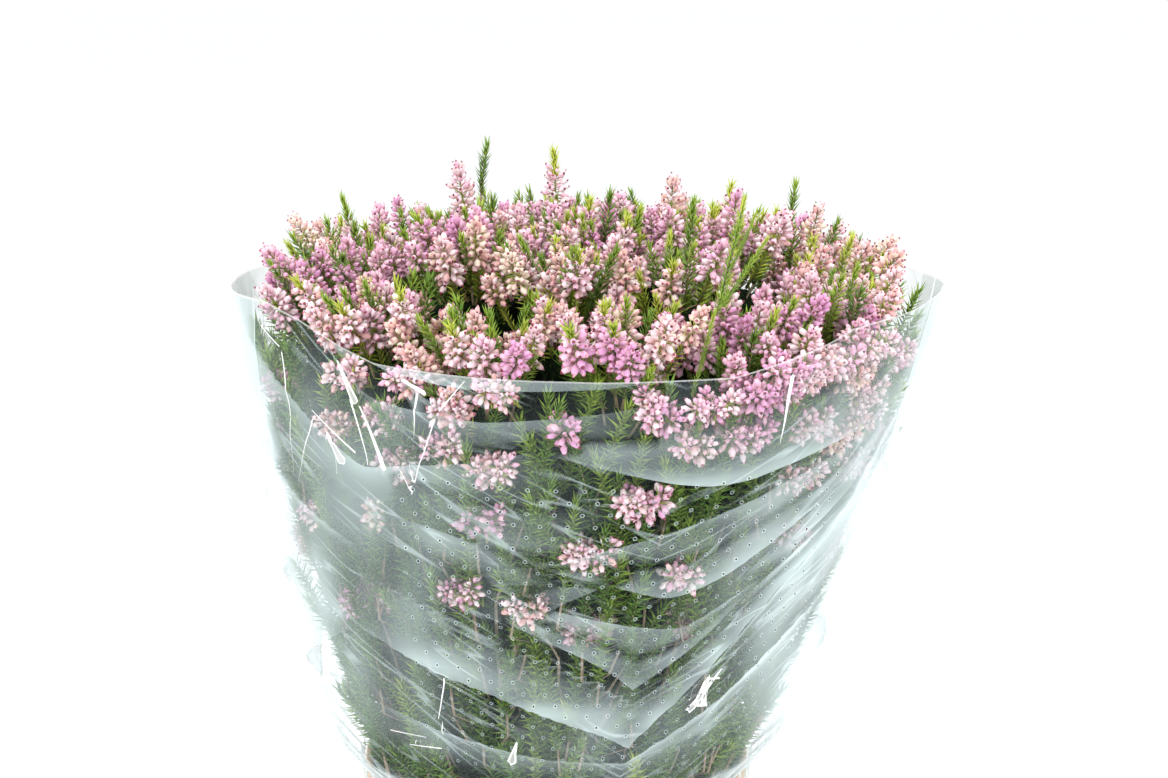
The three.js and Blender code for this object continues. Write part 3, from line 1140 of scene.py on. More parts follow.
@dataclass
class SprigMould:
    """A leafy sprig: whorls of needles round a slim green stalk that curves up."""

    rng: random.Random
    needle: Mould
    length: float
    habit: Habit
    whorl_step: float = 0.0024
    in_whorl: int = 4
    whorl_turn: float = 0.79
    closing: float = 0.6
    shortening: float = 0.25
    bow: float = 0.004
    stalk: float = 0.0009
    stalk_tone: float = 0.5

    def build(self) -> Mould:
        """Makes the mould, whose stalk is material 1.

        Returns:
            The mould.
        """
        lean, size, shift = self.habit.value
        shape = blank()
        steps = int(self.length / self.whorl_step)
        for step in range(steps + 1):
            part = step / steps
            close = 1 - self.closing * smooth_step(0.72, 1.0, part)
            short = 1 - self.shortening + self.shortening * smooth_step(0.0, 0.2, part)
            for leaf in range(self.in_whorl):
                turn = 2 * math.pi * leaf / self.in_whorl + step * self.whorl_turn
                turn += self.rng.uniform(-0.25, 0.25)
                outward = heading(turn, lean * close * self.rng.uniform(0.8, 1.15))
                place = aimed(self.stalk_at(part), outward, size * short * self.rng.uniform(0.85, 1.15))
                tone = shift * smooth_step(0.5, 1.0, part) + self.rng.uniform(-0.07, 0.07) + TONE_LIFT
                self.needle.stamp(shape, place, tone)
        knots = [self.stalk_at(part) for part in (0.0, 0.5, 0.98)]
        radii = [self.stalk, 0.8 * self.stalk, 0.4 * self.stalk]
        tube(shape, knots, radii, TWIG_SIDES, STEM_BARK, self.stalk_tone)
        return Mould("sprig", shape)

    def stalk_at(self, part: float) -> Vector:
        """Gives a point on the stalk."""
        return Vector((0.0, self.bow * part * part, self.length * part))


@dataclass
class TuftMould:
    """A patch of old needles, as it shows between the sprigs."""

    rng: random.Random
    needle: Mould
    needles: int = 26
    width: float = 0.026
    size: float = 1.35

    def build(self) -> Mould:
        """Makes the mould.

        Returns:
            The mould.
        """
        shape = blank()
        for number in range(self.needles):
            out = heading(GOLDEN * number, LEVEL) * self.width / 2 * math.sqrt(number / self.needles)
            outward = heading(self.rng.uniform(0, ANY_ROLL), self.rng.uniform(0.2, 1.25))
            self.needle.stamp(shape, aimed(out, outward, self.size * self.rng.uniform(0.8, 1.15)),
                              self.rng.uniform(-0.12, 0.12) + TONE_LIFT)
        return Mould("tuft", shape)


@dataclass
class RacemeMould:
    """A rounded head of bells on a leafy stalk, with or without a leafy tip."""

    rng: random.Random
    needle: Mould
    bell: Mould
    length: float
    bells: int
    tip: float = 0.0
    tip_step: float = 0.0005
    leaves: int = 22
    foot: float = 0.026
    low_tilt: float = 112.0
    tilt_drop: float = 96.0
    tip_room: float = 30.0
    shrink: float = 0.22
    stalk: float = 0.0011
    stalk_end: float = 0.0005
    stalk_tone: float = 0.7

    def build(self) -> Mould:
        """Makes the mould: bells 0, anthers 1, needles 2 and stalk 3.

        Returns:
            The mould.
        """
        rng = self.rng
        shape = blank()
        drop = self.tilt_drop - self.tip_room * (self.tip > 0)
        for number in range(self.bells):
            part = number / (self.bells - 1)
            turn = GOLDEN * number + rng.uniform(-0.35, 0.35)
            tilt = math.radians(self.low_tilt - drop * part ** 1.7) * rng.uniform(0.82, 1.14)
            size = (1.08 - self.shrink * part ** 3) * rng.uniform(0.72, 1.14)
            root = Vector((0, 0, self.length * part * 0.92))
            self.bell.stamp(shape, aimed(root, heading(turn, tilt), size, rng.uniform(0, ANY_ROLL)),
                            rng.uniform(-0.24, 0.24) + TONE_LIFT)
        greens = blank()
        for number in range(self.leaves):
            height = self.length * 0.5 - (self.foot + self.length * 0.5) * number / self.leaves
            outward = heading(GOLDEN * number * 1.3, rng.uniform(0.7, 1.1))
            self.needle.stamp(greens, aimed(UP * height, outward), rng.uniform(0.3, 0.62))
        for number in range(int(self.tip / self.tip_step)):
            height = 0.8 * self.length + self.tip_step * number
            outward = heading(GOLDEN * number, rng.uniform(0.35, 0.8))
            self.needle.stamp(greens, aimed(UP * height, outward, 0.9), rng.uniform(0.55, 0.85))
        for face in greens.faces:
            face.material_index = HEAD_NEEDLE
        merge(shape, greens)
        top = max(self.length * 0.9, 0.8 * self.length + self.tip)
        tube(shape, [UP * -self.foot, UP * top], [self.stalk, self.stalk_end], TWIG_SIDES, HEAD_BARK,
             self.stalk_tone)
        return Mould("raceme", shape)


@dataclass
class Nursery:
    """The moulds that every stem and head is made from."""

    rng: random.Random
    kinds: int = 4
    cluster_kinds: int = 3
    shoot_length: float = 0.100

    def __post_init__(self) -> None:
        """Makes the moulds."""
        rng = self.rng
        needle = NeedleMould().build()
        plain = NeedleMould().build_plain()
        bell = BellMould().build()
        small = BellMould(sides=4).build()
        short = [0.030 + 0.008 * kind for kind in range(self.kinds)]
        long = [0.046 + 0.012 * kind for kind in range(self.kinds)]
        self.lengths = {Habit.FRESH: short, Habit.FULL: short, Habit.OLD: long}
        self.sprigs = {}
        for habit, lengths in self.lengths.items():
            leaf, step = (plain, 0.0029) if habit is Habit.OLD else (needle, 0.0024)
            self.sprigs[habit] = [SprigMould(rng, leaf, length, habit, step).build() for length in lengths]
        self.tufts = [TuftMould(rng, plain).build() for _ in range(self.kinds)]
        self.racemes = [RacemeMould(rng, plain, small if kind % 2 else bell, 0.011 + 0.003 * kind,
                                    34 + 3 * kind, 0.010 * (kind == 2)).build()
                        for kind in range(self.kinds + 1)]
        self.spikes = [RacemeMould(rng, plain, bell, 0.036, 54, tip).build() for tip in (0.0, 0.018)]
        self.clusters = [RacemeMould(rng, plain, small, 0.010, 21, leaves=10, foot=0.012).build()
                         for _ in range(self.cluster_kinds)]
        self.shoot = SprigMould(rng, needle, self.shoot_length, Habit.FRESH, 0.0027, stalk=0.0008).build()


# The plant's pieces


@dataclass(frozen=True)
class Bloom:
    """A small head of bells that shows through the film."""

    turn: float
    height: float
    racemes: int


FRONT_BLOOMS = tuple(Bloom(*row) for row in (
    (273, 0.402, 6), (249, 0.371, 4), (254, 0.419, 4), (263, 0.365, 3), (256, 0.452, 5), (238, 0.451, 5),
    (236, 0.478, 4), (232, 0.416, 2), (218, 0.345, 2), (212, 0.400, 3), (203, 0.440, 4), (199, 0.372, 3),
    (206, 0.480, 3), (267, 0.480, 2), (280, 0.494, 2), (289, 0.468, 3), (299, 0.494, 6), (297, 0.470, 5),
    (308, 0.500, 6), (310, 0.470, 6), (312, 0.436, 4), (321, 0.455, 6), (322, 0.492, 6), (330, 0.462, 5),
    (332, 0.428, 4), (338, 0.495, 5), (345, 0.440, 4), (349, 0.400, 3), (318, 0.395, 3), (340, 0.370, 2),
    (283, 0.486, 3), (290, 0.490, 4), (316, 0.504, 5), (328, 0.478, 5), (327, 0.508, 4), (303, 0.507, 4),
    (257, 0.500, 3), (249, 0.486, 3), (281, 0.433, 6), (292, 0.384, 3), (229, 0.500, 4), (241, 0.502, 3),
    (247, 0.463, 4), (226, 0.468, 3),
))


@dataclass
class Grown(Piece):
    """A piece that grows in one stem's cell."""

    cell: StemCell
    plant: Plant
    nursery: Nursery
    rng: random.Random
    shape: Shape = field(default_factory=blank)

    @property
    def label(self) -> str:
        """The stem's number as it is written in names."""
        return f"{self.cell.number:02d}"

    def stamp_one(self, moulds: Sequence[Mould], root: Vector, outward: Vector, sizes: tuple[float, float],
                  tone: float, spread: float) -> None:
        """Stamps one of several moulds, with a size, roll and tone of its own.

        Args:
            moulds: The moulds to choose from.
            root: Where its root goes.
            outward: The direction in which it grows.
            sizes: Its least and largest scale.
            tone: Its middle tone.
            spread: How far its tone may lie from that.
        """
        mould = self.rng.choice(moulds)
        size = self.rng.uniform(*sizes)
        place = aimed(root, outward.normalized(), size, self.rng.uniform(0, ANY_ROLL))
        mould.stamp(self.shape, place, max(LEAST_TONE, tone + self.rng.uniform(-spread, spread)))


@dataclass
class FlowerHead(Grown):
    """The head on a flowering stem: racemes that stand close together, and blooms behind the film."""

    title = "flower_head_"
    node = "flowers_"
    slot = Slot.FLOWER
    coats = HEAD_COATS
    blooms: Sequence[Bloom] = ()
    guests: Sequence[StemCell] = ()
    racemes: int = 14
    raceme_rise: float = 0.026
    spike_rise: float = 0.048
    guest_racemes: int = 7
    fill: float = 1.12
    depth: float = 0.034
    lean: float = 0.30
    splay: float = 0.5
    guest_splay: float = 0.4
    outer_ring: float = 0.8
    patch: float = 0.085
    fine_patch: float = 0.3
    fine_drift: float = 0.55
    tone_middle: float = 0.46
    tone_drift: float = 0.6
    stands_out: float = 0.012
    reach: float = 0.014
    gap: float = 0.016
    branch_back: float = 0.024
    branch_sunk: float = 0.010
    branch_radii: tuple[float, ...] = (0.0014, 0.0012, 0.0010)
    branch_tone: float = 0.6
    bloom_radii: tuple[float, ...] = (0.0012, 0.0011, 0.0008)
    bloom_tone: float = 0.15
    bend_at: float = 0.55
    sag: float = 0.006
    bloom_inside: float = 0.020
    bloom_spread: float = 0.0058
    bloom_drop: float = 0.034
    bloom_root: float = 0.072

    def tone_at(self, place: Vector) -> float:
        """Gives the flowers' tone at a place, which drifts over the crown."""
        fine = drift(*(place / (self.fine_patch * self.patch)))
        return self.tone_middle + self.tone_drift * (drift(*(place / self.patch)) + self.fine_drift * fine)

    def build(self) -> Shape:
        """Makes the head's shape.

        Returns:
            The shape.
        """
        rng = self.rng
        bulk = self.plant.bulk_top(self.cell)
        for number in range(self.racemes):
            share = math.sqrt(number / self.racemes)
            size = rng.uniform(0.88, 1.12)
            top = bulk + 0.003 - self.depth * rng.random() ** 1.2 * (0.3 + 0.7 * share)
            mould = rng.choice(self.nursery.racemes)
            rise = self.raceme_rise
            if number == 0:
                top = self.cell.top
                if self.cell.top - bulk > self.stands_out:
                    mould = self.nursery.spikes[self.cell.number % 2]
                    rise = self.spike_rise
            leans = (self.lean * self.cell.radius / self.outer_ring, self.splay)
            root, outward = self.rooted(self.cell, number, share, top - rise * size, leans)
            tone = self.tone_at(root) + rng.uniform(-0.22, 0.22)
            place = aimed(root, outward.normalized(), size, rng.uniform(0, ANY_ROLL))
            mould.stamp(self.shape, place, max(LEAST_TONE, tone))
            self.branch(root, outward)
        for guest in self.guests:
            self.lean_over(guest)
        for bloom in self.blooms:
            self.bloom(bloom)
        return self.shape

    def rooted(self, cell: StemCell, number: int, share: float, height: float,
               leans: tuple[float, float]) -> tuple[Vector, Vector]:
        """Gives a raceme's root, drawn in so that its bells stay within the film, and its direction.

        Args:
            cell: The cell over which it stands.
            number: Its number in the head.
            share: How far out it stands, from 0 to 1.
            height: Its root's height.
            leans: How far it leans out of the plant's middle and out of the cell's.

        Returns:
            The root and the direction.
        """
        turn = GOLDEN * number + self.cell.wander_turn
        root = self.plant.middle(cell, height)
        root += heading(turn, LEVEL) * (self.fill * self.plant.room(height) * share)
        outward = heading(cell.turn, leans[0]) + heading(turn, leans[1] * share) - UP
        middle = root + outward.normalized() * self.reach
        return root + (self.plant.kept_in(middle, self.gap) - middle), outward

    def lean_over(self, guest: StemCell) -> None:
        """Adds racemes that lean over to the leafy stem beside the head.

        Args:
            guest: The leafy stem's cell.
        """
        for number in range(self.guest_racemes):
            top = guest.top - self.rng.uniform(0.004, 0.032)
            share = math.sqrt((number + 0.5) / self.guest_racemes)
            leans = (self.lean, self.guest_splay)
            root, outward = self.rooted(guest, number, share, top - self.raceme_rise, leans)
            self.stamp_one(self.nursery.racemes, root, outward, (0.88, 1.08), self.tone_at(root), 0.2)
            self.branch(root, outward)

    def bloom(self, bloom: Bloom) -> None:
        """Adds a small head that shows through the film.

        Args:
            bloom: Its place and size.
        """
        turn = math.radians(bloom.turn)
        middle = self.plant.funnel.on_film(turn, bloom.height, self.bloom_inside)
        tone = self.tone_at(middle) + self.rng.uniform(-0.1, 0.1)
        for number in range(bloom.racemes):
            aside = heading(turn, 1.0) + 0.9 * heading(GOLDEN * number, 1.2)
            root = middle + self.bloom_spread * math.sqrt(number) * heading(GOLDEN * number + turn, 1.2)
            root = self.plant.kept_in(root, self.gap)
            self.stamp_one(self.nursery.clusters, root, aside, (0.85, 1.05), tone, 0.15)
        turn += self.rng.uniform(-0.12, 0.12)
        inner = self.plant.funnel.on_film(turn, bloom.height - self.bloom_drop, self.bloom_root)
        self.twig(inner, middle, self.bloom_radii, self.bloom_tone)

    def branch(self, root: Vector, outward: Vector) -> None:
        """Adds the twig that carries a raceme.

        Args:
            root: The raceme's root.
            outward: The way in which the raceme grows.
        """
        foot = self.plant.knots(self.cell)[-1]
        end = root - outward.normalized() * self.branch_back
        self.twig(foot, end, self.branch_radii, self.branch_tone, self.branch_sunk)

    def twig(self, foot: Vector, end: Vector, radii: Sequence[float], tone: float, sunk: float = 0.0) -> None:
        """Adds a twig that sags a little.

        Args:
            foot: Where it comes from.
            end: Where it ends.
            radii: Its radius at its foot, bend and end.
            tone: Its tone.
            sunk: How far its foot is sunk in.
        """
        bend = foot.lerp(end, self.bend_at) - UP * self.sag
        tube(self.shape, [foot - UP * sunk, bend, end], radii, TWIG_SIDES, HEAD_BARK, tone)


@dataclass
class LowHead(Grown):
    """A small head low on an outer stem, which shows through the film."""

    title = "low_flower_head_"
    node = "low_flowers_"
    slot = Slot.FLOWER
    coats = HEAD_COATS
    racemes: int = 9
    spread: float = 0.0065
    gap: float = 0.018
    foot_rise: float = 0.003
    root_drop: float = 0.02
    root_gap: float = 0.045
    twig_radii: tuple[float, ...] = (0.0015, 0.0013, 0.0010)
    twig_tone: float = 0.3

    def build(self) -> Shape:
        """Makes the head's shape.

        Returns:
            The shape.
        """
        low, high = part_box(f"low_flowers_{self.label}")
        middle = (low + high) / 2
        foot = Vector((middle.x, middle.y, low.z + self.foot_rise))
        tone = self.rng.uniform(0.2, 0.75)
        for number in range(self.racemes):
            share = math.sqrt(number / self.racemes)
            turn = GOLDEN * number
            outward = heading(turn, 0.2 + 1.0 * share) + 0.5 * heading(self.cell.turn, 1.3)
            root = self.plant.kept_in(middle + heading(turn, LEVEL) * self.spread * share, self.gap)
            self.stamp_one(self.nursery.clusters, root, outward, (0.95, 1.12), tone, 0.15)
        root = self.plant.kept_in(foot - UP * self.root_drop, self.root_gap)
        knots = [root, foot, self.plant.kept_in(middle, self.gap)]
        tube(self.shape, knots, self.twig_radii, TWIG_SIDES, HEAD_BARK, self.twig_tone)
        return self.shape


@dataclass
class LeafyStem(Grown):
    """A woody stem with its twigs and leafy sprigs, in the crown and down along the film."""

    title = "leafy_stem_"
    node = "stem_"
    slot = Slot.LEAF
    # the shade coat is painted shade for the plant's dark inside
    coats = ("needle", "bark", "shade")
    base_radius: float = 0.0034
    tip_radius: float = 0.0018
    stem_sides: int = 6
    stem_drop: float = 0.075
    crown_sprigs: int = 12
    leafy_sprigs: int = 13
    crown_depth: float = 0.034
    crown_fill: float = 1.05
    crown_lean: float = 0.3
    crown_splay: float = 0.45
    leafy_depth: float = 0.050
    leafy_drop: float = 0.020
    leafy_fresh: float = 0.12
    side_sprigs: int = 42
    side_low: float = 0.225
    side_drop: float = 0.040
    side_climb: float = 0.74
    over_peat: float = 0.012
    branches: int = 3
    branch_sides: int = 5
    branch_radius: float = 0.0022
    branch_taper: float = 0.0014
    branch_splay: float = 0.62
    branch_sway: float = 0.16
    branch_inside: float = 0.054
    branch_outward: float = 0.030
    joints: int = 9
    tufts: int = 38
    tuft_turn: float = 2.1
    tuft_tilt: float = 1.1
    tuft_place: float = 0.92
    tuft_gap: float = 0.020
    twig: float = 0.0010
    twig_drop: float = 0.045
    twig_bend: float = 0.020
    tip_gap: float = 0.010
    root_gap: float = 0.015
    core_inner: float = 0.92
    core_outer: float = 0.62
    core_sides: int = 14
    core_levels: int = 15
    core_foot: float = 0.016
    core_drop: float = 0.055
    core_inward: float = 0.25
    core_rough: float = 0.006
    core_grain: float = 0.020
    half_turn: float = math.pi / 13 * 1.08
    forked: int = 7
    fork_tone: float = 0.66
    fork: tuple[tuple[tuple[float, float, float], tuple[float, float, float]], ...] = (
        ((0.079, -0.192, 0.500), (0.093, -0.178, 0.544)),
        ((0.093, -0.178, 0.544), (0.112, -0.132, 0.601)),
        ((0.094, -0.177, 0.546), (0.124, -0.146, 0.580)),
        ((0.102, -0.160, 0.566), (0.118, -0.138, 0.594)),
    )

    def build(self) -> Shape:
        """Makes the stem's shape.

        Returns:
            The shape.
        """
        end = self.plant.bulk_top(self.cell) - self.stem_drop
        knots = [knot for knot in self.plant.knots(self.cell) if knot.z < end]
        radii = [float(radius) for radius in np.linspace(self.base_radius, self.tip_radius, len(knots))]
        tube(self.shape, knots, radii, self.stem_sides, STEM_BARK)
        self.core()
        self.crown()
        if self.cell.number == self.forked:
            self.yellow_fork()
        if self.cell.outer:
            self.wood()
            self.sides()
            self.old_leaf()
        return self.shape

    def sprig(self, habit: Habit, tip: Vector, outward: Vector, tone: float) -> None:
        """Adds one sprig and the twig that carries it from inside.

        Args:
            habit: How the sprig has grown.
            tip: Where its end comes.
            outward: Its direction.
            tone: Its green, from deep to yellow.
        """
        lowest = self.plant.funnel.peat_top + self.over_peat
        kind = self.rng.randrange(len(self.nursery.sprigs[habit]))
        size = self.rng.uniform(0.88, 1.1)
        end = self.plant.kept_in(tip, self.tip_gap)
        root = end - outward.normalized() * (self.nursery.lengths[habit][kind] * size)
        root.z = max(root.z, lowest)
        root = self.plant.kept_in(root, self.root_gap)
        aim = (end - root).normalized()
        place = aimed(root, aim, size, self.rng.uniform(0, ANY_ROLL))
        self.nursery.sprigs[habit][kind].stamp(self.shape, place, tone)
        start = self.plant.middle(self.cell, max(lowest, root.z - self.twig_drop))
        bend = root - aim * self.twig_bend
        if bend.z > start.z:
            tube(self.shape, [start, bend, root], [1.3 * self.twig, self.twig, 0.8 * self.twig],
                 TWIG_SIDES, STEM_BARK, self.rng.uniform(0.0, 0.3))

    def crown(self) -> None:
        """Adds the green sprigs among the flower heads."""
        rng = self.rng
        cell = self.cell
        count = self.leafy_sprigs if cell.leafy else self.crown_sprigs
        for number in range(count):
            share = math.sqrt((number + 0.5) / count)
            turn = GOLDEN * number + cell.wander_turn + 1.2
            height = self.plant.bulk_top(cell) - 0.004 - self.crown_depth * rng.random() ** 1.4
            if cell.leafy:
                height = cell.top + 0.004 - self.leafy_depth * rng.random() * (0.15 + share)
                height -= self.leafy_drop * (number > 0)
            elif number == 1 and cell.number % 3 == 1:
                height = cell.top - 0.002
            off = heading(turn, LEVEL) * self.crown_fill * self.plant.room(height) * share
            tip = self.plant.middle(cell, height) + off
            outward = heading(cell.turn, self.crown_lean * cell.radius)
            outward += heading(turn, self.crown_splay * share) - UP
            habit = rng.choice((Habit.FRESH, Habit.FRESH, Habit.FULL))
            self.sprig(habit, tip, outward, rng.uniform(0.36, 0.72) + self.leafy_fresh * cell.leafy)

    def yellow_fork(self) -> None:
        """Adds the long forked shoot of fresh leaf that stands out of one stem."""
        for root, tip in self.fork:
            run = Vector(tip) - Vector(root)
            place = aimed(Vector(root), run.normalized(), run.length / self.nursery.shoot_length)
            self.nursery.shoot.stamp(self.shape, place, self.fork_tone)

    def sides(self) -> None:
        """Adds the sprigs that lie along the film."""
        rng = self.rng
        for number in range(self.side_sprigs):
            part = (number + rng.random()) / self.side_sprigs
            climb = self.cell.top - self.side_drop - self.side_low
            height = self.side_low + part ** self.side_climb * climb
            turn = self.cell.turn + self.half_turn * woven(number)
            tip = self.plant.funnel.on_film(turn, height, rng.uniform(0.009, 0.029))
            outward = heading(turn + rng.uniform(-0.9, 0.9), rng.uniform(0.2, 0.62))
            self.sprig(Habit.OLD, tip, outward, rng.uniform(0.32, 0.66) + 0.10 * (rng.random() < 0.2))

    def branch_knot(self, number: int, height: float, part: float) -> Vector:
        """Gives a point on a woody branch.

        Args:
            number: The branch's number.
            height: The point's height.
            part: How far it lies up the branch, from 0 to 1.

        Returns:
            The point.
        """
        funnel = self.plant.funnel
        splay = self.half_turn * (number - (self.branches - 1) / 2) * self.branch_splay
        sway = self.branch_sway * drift(3.1 * part, 5.0 * number, 1.7 * self.cell.number)
        aside = splay * (0.3 + 0.7 * part) + sway * part
        radius = funnel.film_at(height) - self.branch_inside + self.branch_outward * part
        return Vector((funnel.lean_at(height), 0, height)) + heading(self.cell.turn + aside, LEVEL) * radius

    def wood(self) -> None:
        """Adds the woody branches that fan out behind the film, each with a sprig at its end."""
        low = self.plant.funnel.peat_top + 0.004
        lengths = self.nursery.lengths[Habit.OLD]
        for number in range(self.branches):
            top = self.rng.uniform(0.33, 0.44)
            knots = [self.branch_knot(number, float(height), float(height - low) / (top - low))
                     for height in np.linspace(low, top, self.joints)]
            radii = [self.branch_radius - self.branch_taper * place / (self.joints - 1)
                     for place in range(self.joints)]
            tube(self.shape, knots, radii, self.branch_sides, STEM_BARK, self.rng.uniform(0.0, 0.12))
            kind = self.rng.randrange(len(lengths))
            reach = (knots[-1] - knots[-2]).normalized() * lengths[kind]
            aim = (self.plant.kept_in(knots[-1] + reach, 0.014) - knots[-1]).normalized()
            self.nursery.sprigs[Habit.OLD][kind].stamp(self.shape, aimed(knots[-1] - aim * 0.004, aim), 0.5)

    def core_span(self) -> tuple[float, float]:
        """Gives the heights between which the shaded mass lies."""
        foot = self.plant.funnel.peat_top + self.core_foot
        return foot, self.plant.bulk_top(self.cell) - self.core_drop

    def core_radius(self, height: float) -> float:
        """Gives the radius of the shaded mass at a height.

        Args:
            height: The height.

        Returns:
            The radius.
        """
        low, high = self.core_span()
        part = min(1.0, max(0.0, (height - low) / (high - low)))
        share = self.core_outer if self.cell.outer else self.core_inner
        swell = 0.3 + 2.4 * math.sin(math.pi * (0.03 + 0.94 * part))
        return self.plant.room(height) * share * min(1.0, swell)

    def core_middle(self, height: float) -> Vector:
        """Gives the middle of the shaded mass at a height.

        Args:
            height: The height.

        Returns:
            The point.
        """
        share = self.core_inward * self.cell.outer
        inward = heading(self.cell.turn, LEVEL) * share * self.plant.room(height)
        return self.plant.middle(self.cell, height) - inward

    def core(self) -> None:
        """Adds a near-black mass inside the plant that stands for its shaded twigs and dead leaf as painted
        shade, which the sprigs stand out of.
        """
        heights = [float(height) for height in np.linspace(*self.core_span(), self.core_levels)]
        mass = blank()
        tube(mass, [self.core_middle(height) for height in heights],
             [self.core_radius(height) for height in heights], self.core_sides, STEM_SHADE)
        for point in mass.verts:
            rough = noise.fractal(point.co / self.core_grain, 0.9, 2.0, 3)
            point.co += (point.co - self.core_middle(point.co.z)).normalized() * self.core_rough * rough
        merge(self.shape, mass)

    def old_leaf(self) -> None:
        """Adds the old needles that cover the shaded mass."""
        rng = self.rng
        low, high = self.core_span()
        for number in range(self.tufts):
            height = low + (high - low) * (number + rng.random()) / self.tufts
            turn = self.cell.turn + self.tuft_turn * woven(number)
            off = heading(turn, LEVEL) * self.tuft_place * self.core_radius(height)
            root = self.plant.kept_in(self.core_middle(height) + off, self.tuft_gap)
            outward = heading(turn, self.tuft_tilt)
            tuft = rng.choice(self.nursery.tufts)
            place = aimed(root, outward, rng.uniform(0.9, 1.1), rng.uniform(0, ANY_ROLL))
            tuft.stamp(self.shape, place, rng.uniform(0.06, 0.30))


# The made pieces


@dataclass
class NurseryPot(Piece):
    """A round tapered pot with a collar and rounded edges."""

    title = "nursery_pot"
    node = "pot"
    slot = Slot.POT
    coats = ("pot",)
    height: float = 0.208
    base_radius: float = 0.092
    rim_radius: float = 0.132
    wall: float = 0.004
    floor: float = 0.005
    collar: float = 0.028
    collar_step: float = 0.007
    round_edge: float = 0.0015
    foot_edge: float = 0.002
    bevel: float = 0.0006
    bevel_from: float = math.radians(25)
    sides: int = 96

    def build(self) -> Shape:
        """Makes the pot's shape.

        Returns:
            The shape.
        """
        collar_foot = self.height - self.collar
        shoulder = self.rim_radius - self.collar_step
        inner = self.rim_radius - self.wall
        profile = (
            (0.0, 0.0), (self.base_radius - self.foot_edge, 0.0), (self.base_radius, self.foot_edge),
            (shoulder, collar_foot - self.round_edge), (self.rim_radius - self.round_edge, collar_foot),
            (self.rim_radius, collar_foot + self.round_edge),
            (self.rim_radius, self.height - self.round_edge),
            (self.rim_radius - self.round_edge, self.height), (inner, self.height),
            (inner - self.collar_step, collar_foot), (self.base_radius - self.wall, self.floor),
            (0.0, self.floor),
        )
        shape = spun(profile, self.sides)
        smooth(shape)
        sharp = [edge for edge in shape.edges if edge.calc_face_angle(0) > self.bevel_from]
        bmesh.ops.bevel(shape, geom=sharp, offset=self.bevel, offset_type="OFFSET", segments=2, profile=0.5,
                        affect="EDGES", material=-1, clamp_overlap=True)
        return shape


@dataclass
class PeatFill(Piece):
    """The filled peat, crumbly on top."""

    title = "peat_fill"
    node = "peat"
    slot = Slot.PEAT
    coats = ("peat",)
    top: float = 0.186
    floor: float = 0.0053
    radius: float = 0.1195
    foot_radius: float = 0.0875
    shoulder: float = 0.004
    lump: float = 0.0021
    crumb: float = 0.011
    sides: int = 64
    rings: int = 28

    def build(self) -> Shape:
        """Makes the peat's shape: a spun block whose top is raised and lowered by a formula.

        Returns:
            The shape.
        """
        profile = [(0.0, self.floor), (self.foot_radius, self.floor), (self.radius, self.top - self.shoulder)]
        profile += [(self.radius * (1 - ring / self.rings), self.top) for ring in range(1, self.rings + 1)]
        shape = spun(profile, self.sides)
        for point in shape.verts:
            if point.co.z > self.top - 0.001:
                point.co.z += self.lump * noise.fractal(point.co / self.crumb, 0.8, 2.1, 4)
        smooth(shape)
        return shape


@dataclass(frozen=True)
class Swag:
    """A fold that hangs between two gathers.

    It sags most at its turn, in degrees. Its left and its right arm each have a reach in degrees, a rise
    and a curve. The film is milky on the upper side of its line, or on the lower side where it hangs; that
    milky band is partly the film's own milkiness and partly painted reflection.
    """

    turn: float
    low: float
    left: tuple[float, float, float]
    right: tuple[float, float, float]
    veil_and_reflection: float
    band: float = 0.020
    hangs: bool = False
    depth: float = 0.0020
    width: float = 0.0035

    def turned(self, turn: float, higher: float) -> "Swag":
        """Gives the fold's mirror image about a turn, somewhat higher, for the sleeve's other face."""
        return replace(self, turn=turn - self.turn, low=self.low + higher, left=self.right, right=self.left)


FACE_FOLDS = (
    Swag(284, 0.275, (60, 0.075, 0.75), (58, 0.21, 0.95), 0.9, 0.020, depth=0.0040),
    Swag(284, 0.266, (62, 0.030, 0.8), (50, 0.10, 1.0), 0.8, 0.009, hangs=True, depth=0.0035),
    Swag(283, 0.322, (80, 0.120, 0.8), (62, 0.165, 1.0), 0.55, 0.030),
    Swag(290, 0.360, (40, 0.030, 1.3), (45, 0.090, 1.2), 0.5, 0.030, hangs=True),
    Swag(286, 0.386, (45, 0.060, 1.2), (50, 0.090, 1.5), 0.6, 0.020),
    Swag(268, 0.408, (30, 0.020, 1.2), (60, 0.055, 0.9), 0.45, 0.024, hangs=True),
    Swag(296, 0.453, (34, 0.028, 1.5), (30, 0.012, 1.3), 0.8, 0.026),
    Swag(258, 0.368, (70, 0.095, 0.9), (22, 0.030, 1.2), 0.45, 0.030),
    Swag(236, 0.452, (30, 0.060, 1.1), (34, 0.034, 1.0), 0.45, 0.022, hangs=True),
    Swag(256, 0.494, (22, 0.010, 1.0), (26, 0.016, 1.4), 0.5, 0.018, hangs=True),
    Swag(257, 0.5085, (22, 0.012, 1.8), (25, 0.010, 1.8), 0.62, 0.030, depth=0.0006),
)
SIDE_FOLDS = (
    Swag(8, 0.262, (50, 0.090, 0.9), (56, 0.110, 0.9), 0.8, 0.020, depth=0.0040),
    Swag(14, 0.318, (40, 0.070, 1.1), (44, 0.060, 1.2), 0.5, 0.030),
    Swag(4, 0.392, (36, 0.050, 1.2), (40, 0.070, 1.1), 0.5, 0.026, hangs=True),
    Swag(18, 0.448, (30, 0.020, 1.3), (30, 0.030, 1.3), 0.6, 0.022),
)


@dataclass(frozen=True)
class Patch:
    """A round place on the film, with its half width in degrees, its half height and its strength."""

    turn: float
    height: float
    width: float
    tall: float
    strength: float = 1.0

    def at(self, turn: float, height: float) -> float:
        """Gives how deep a place lies in the patch: 1 in its middle and 0 past its edge."""
        aside = math.degrees(turn_from(self.turn, turn)) / self.width
        return max(0.0, 1 - math.hypot(aside, (height - self.height) / self.tall))


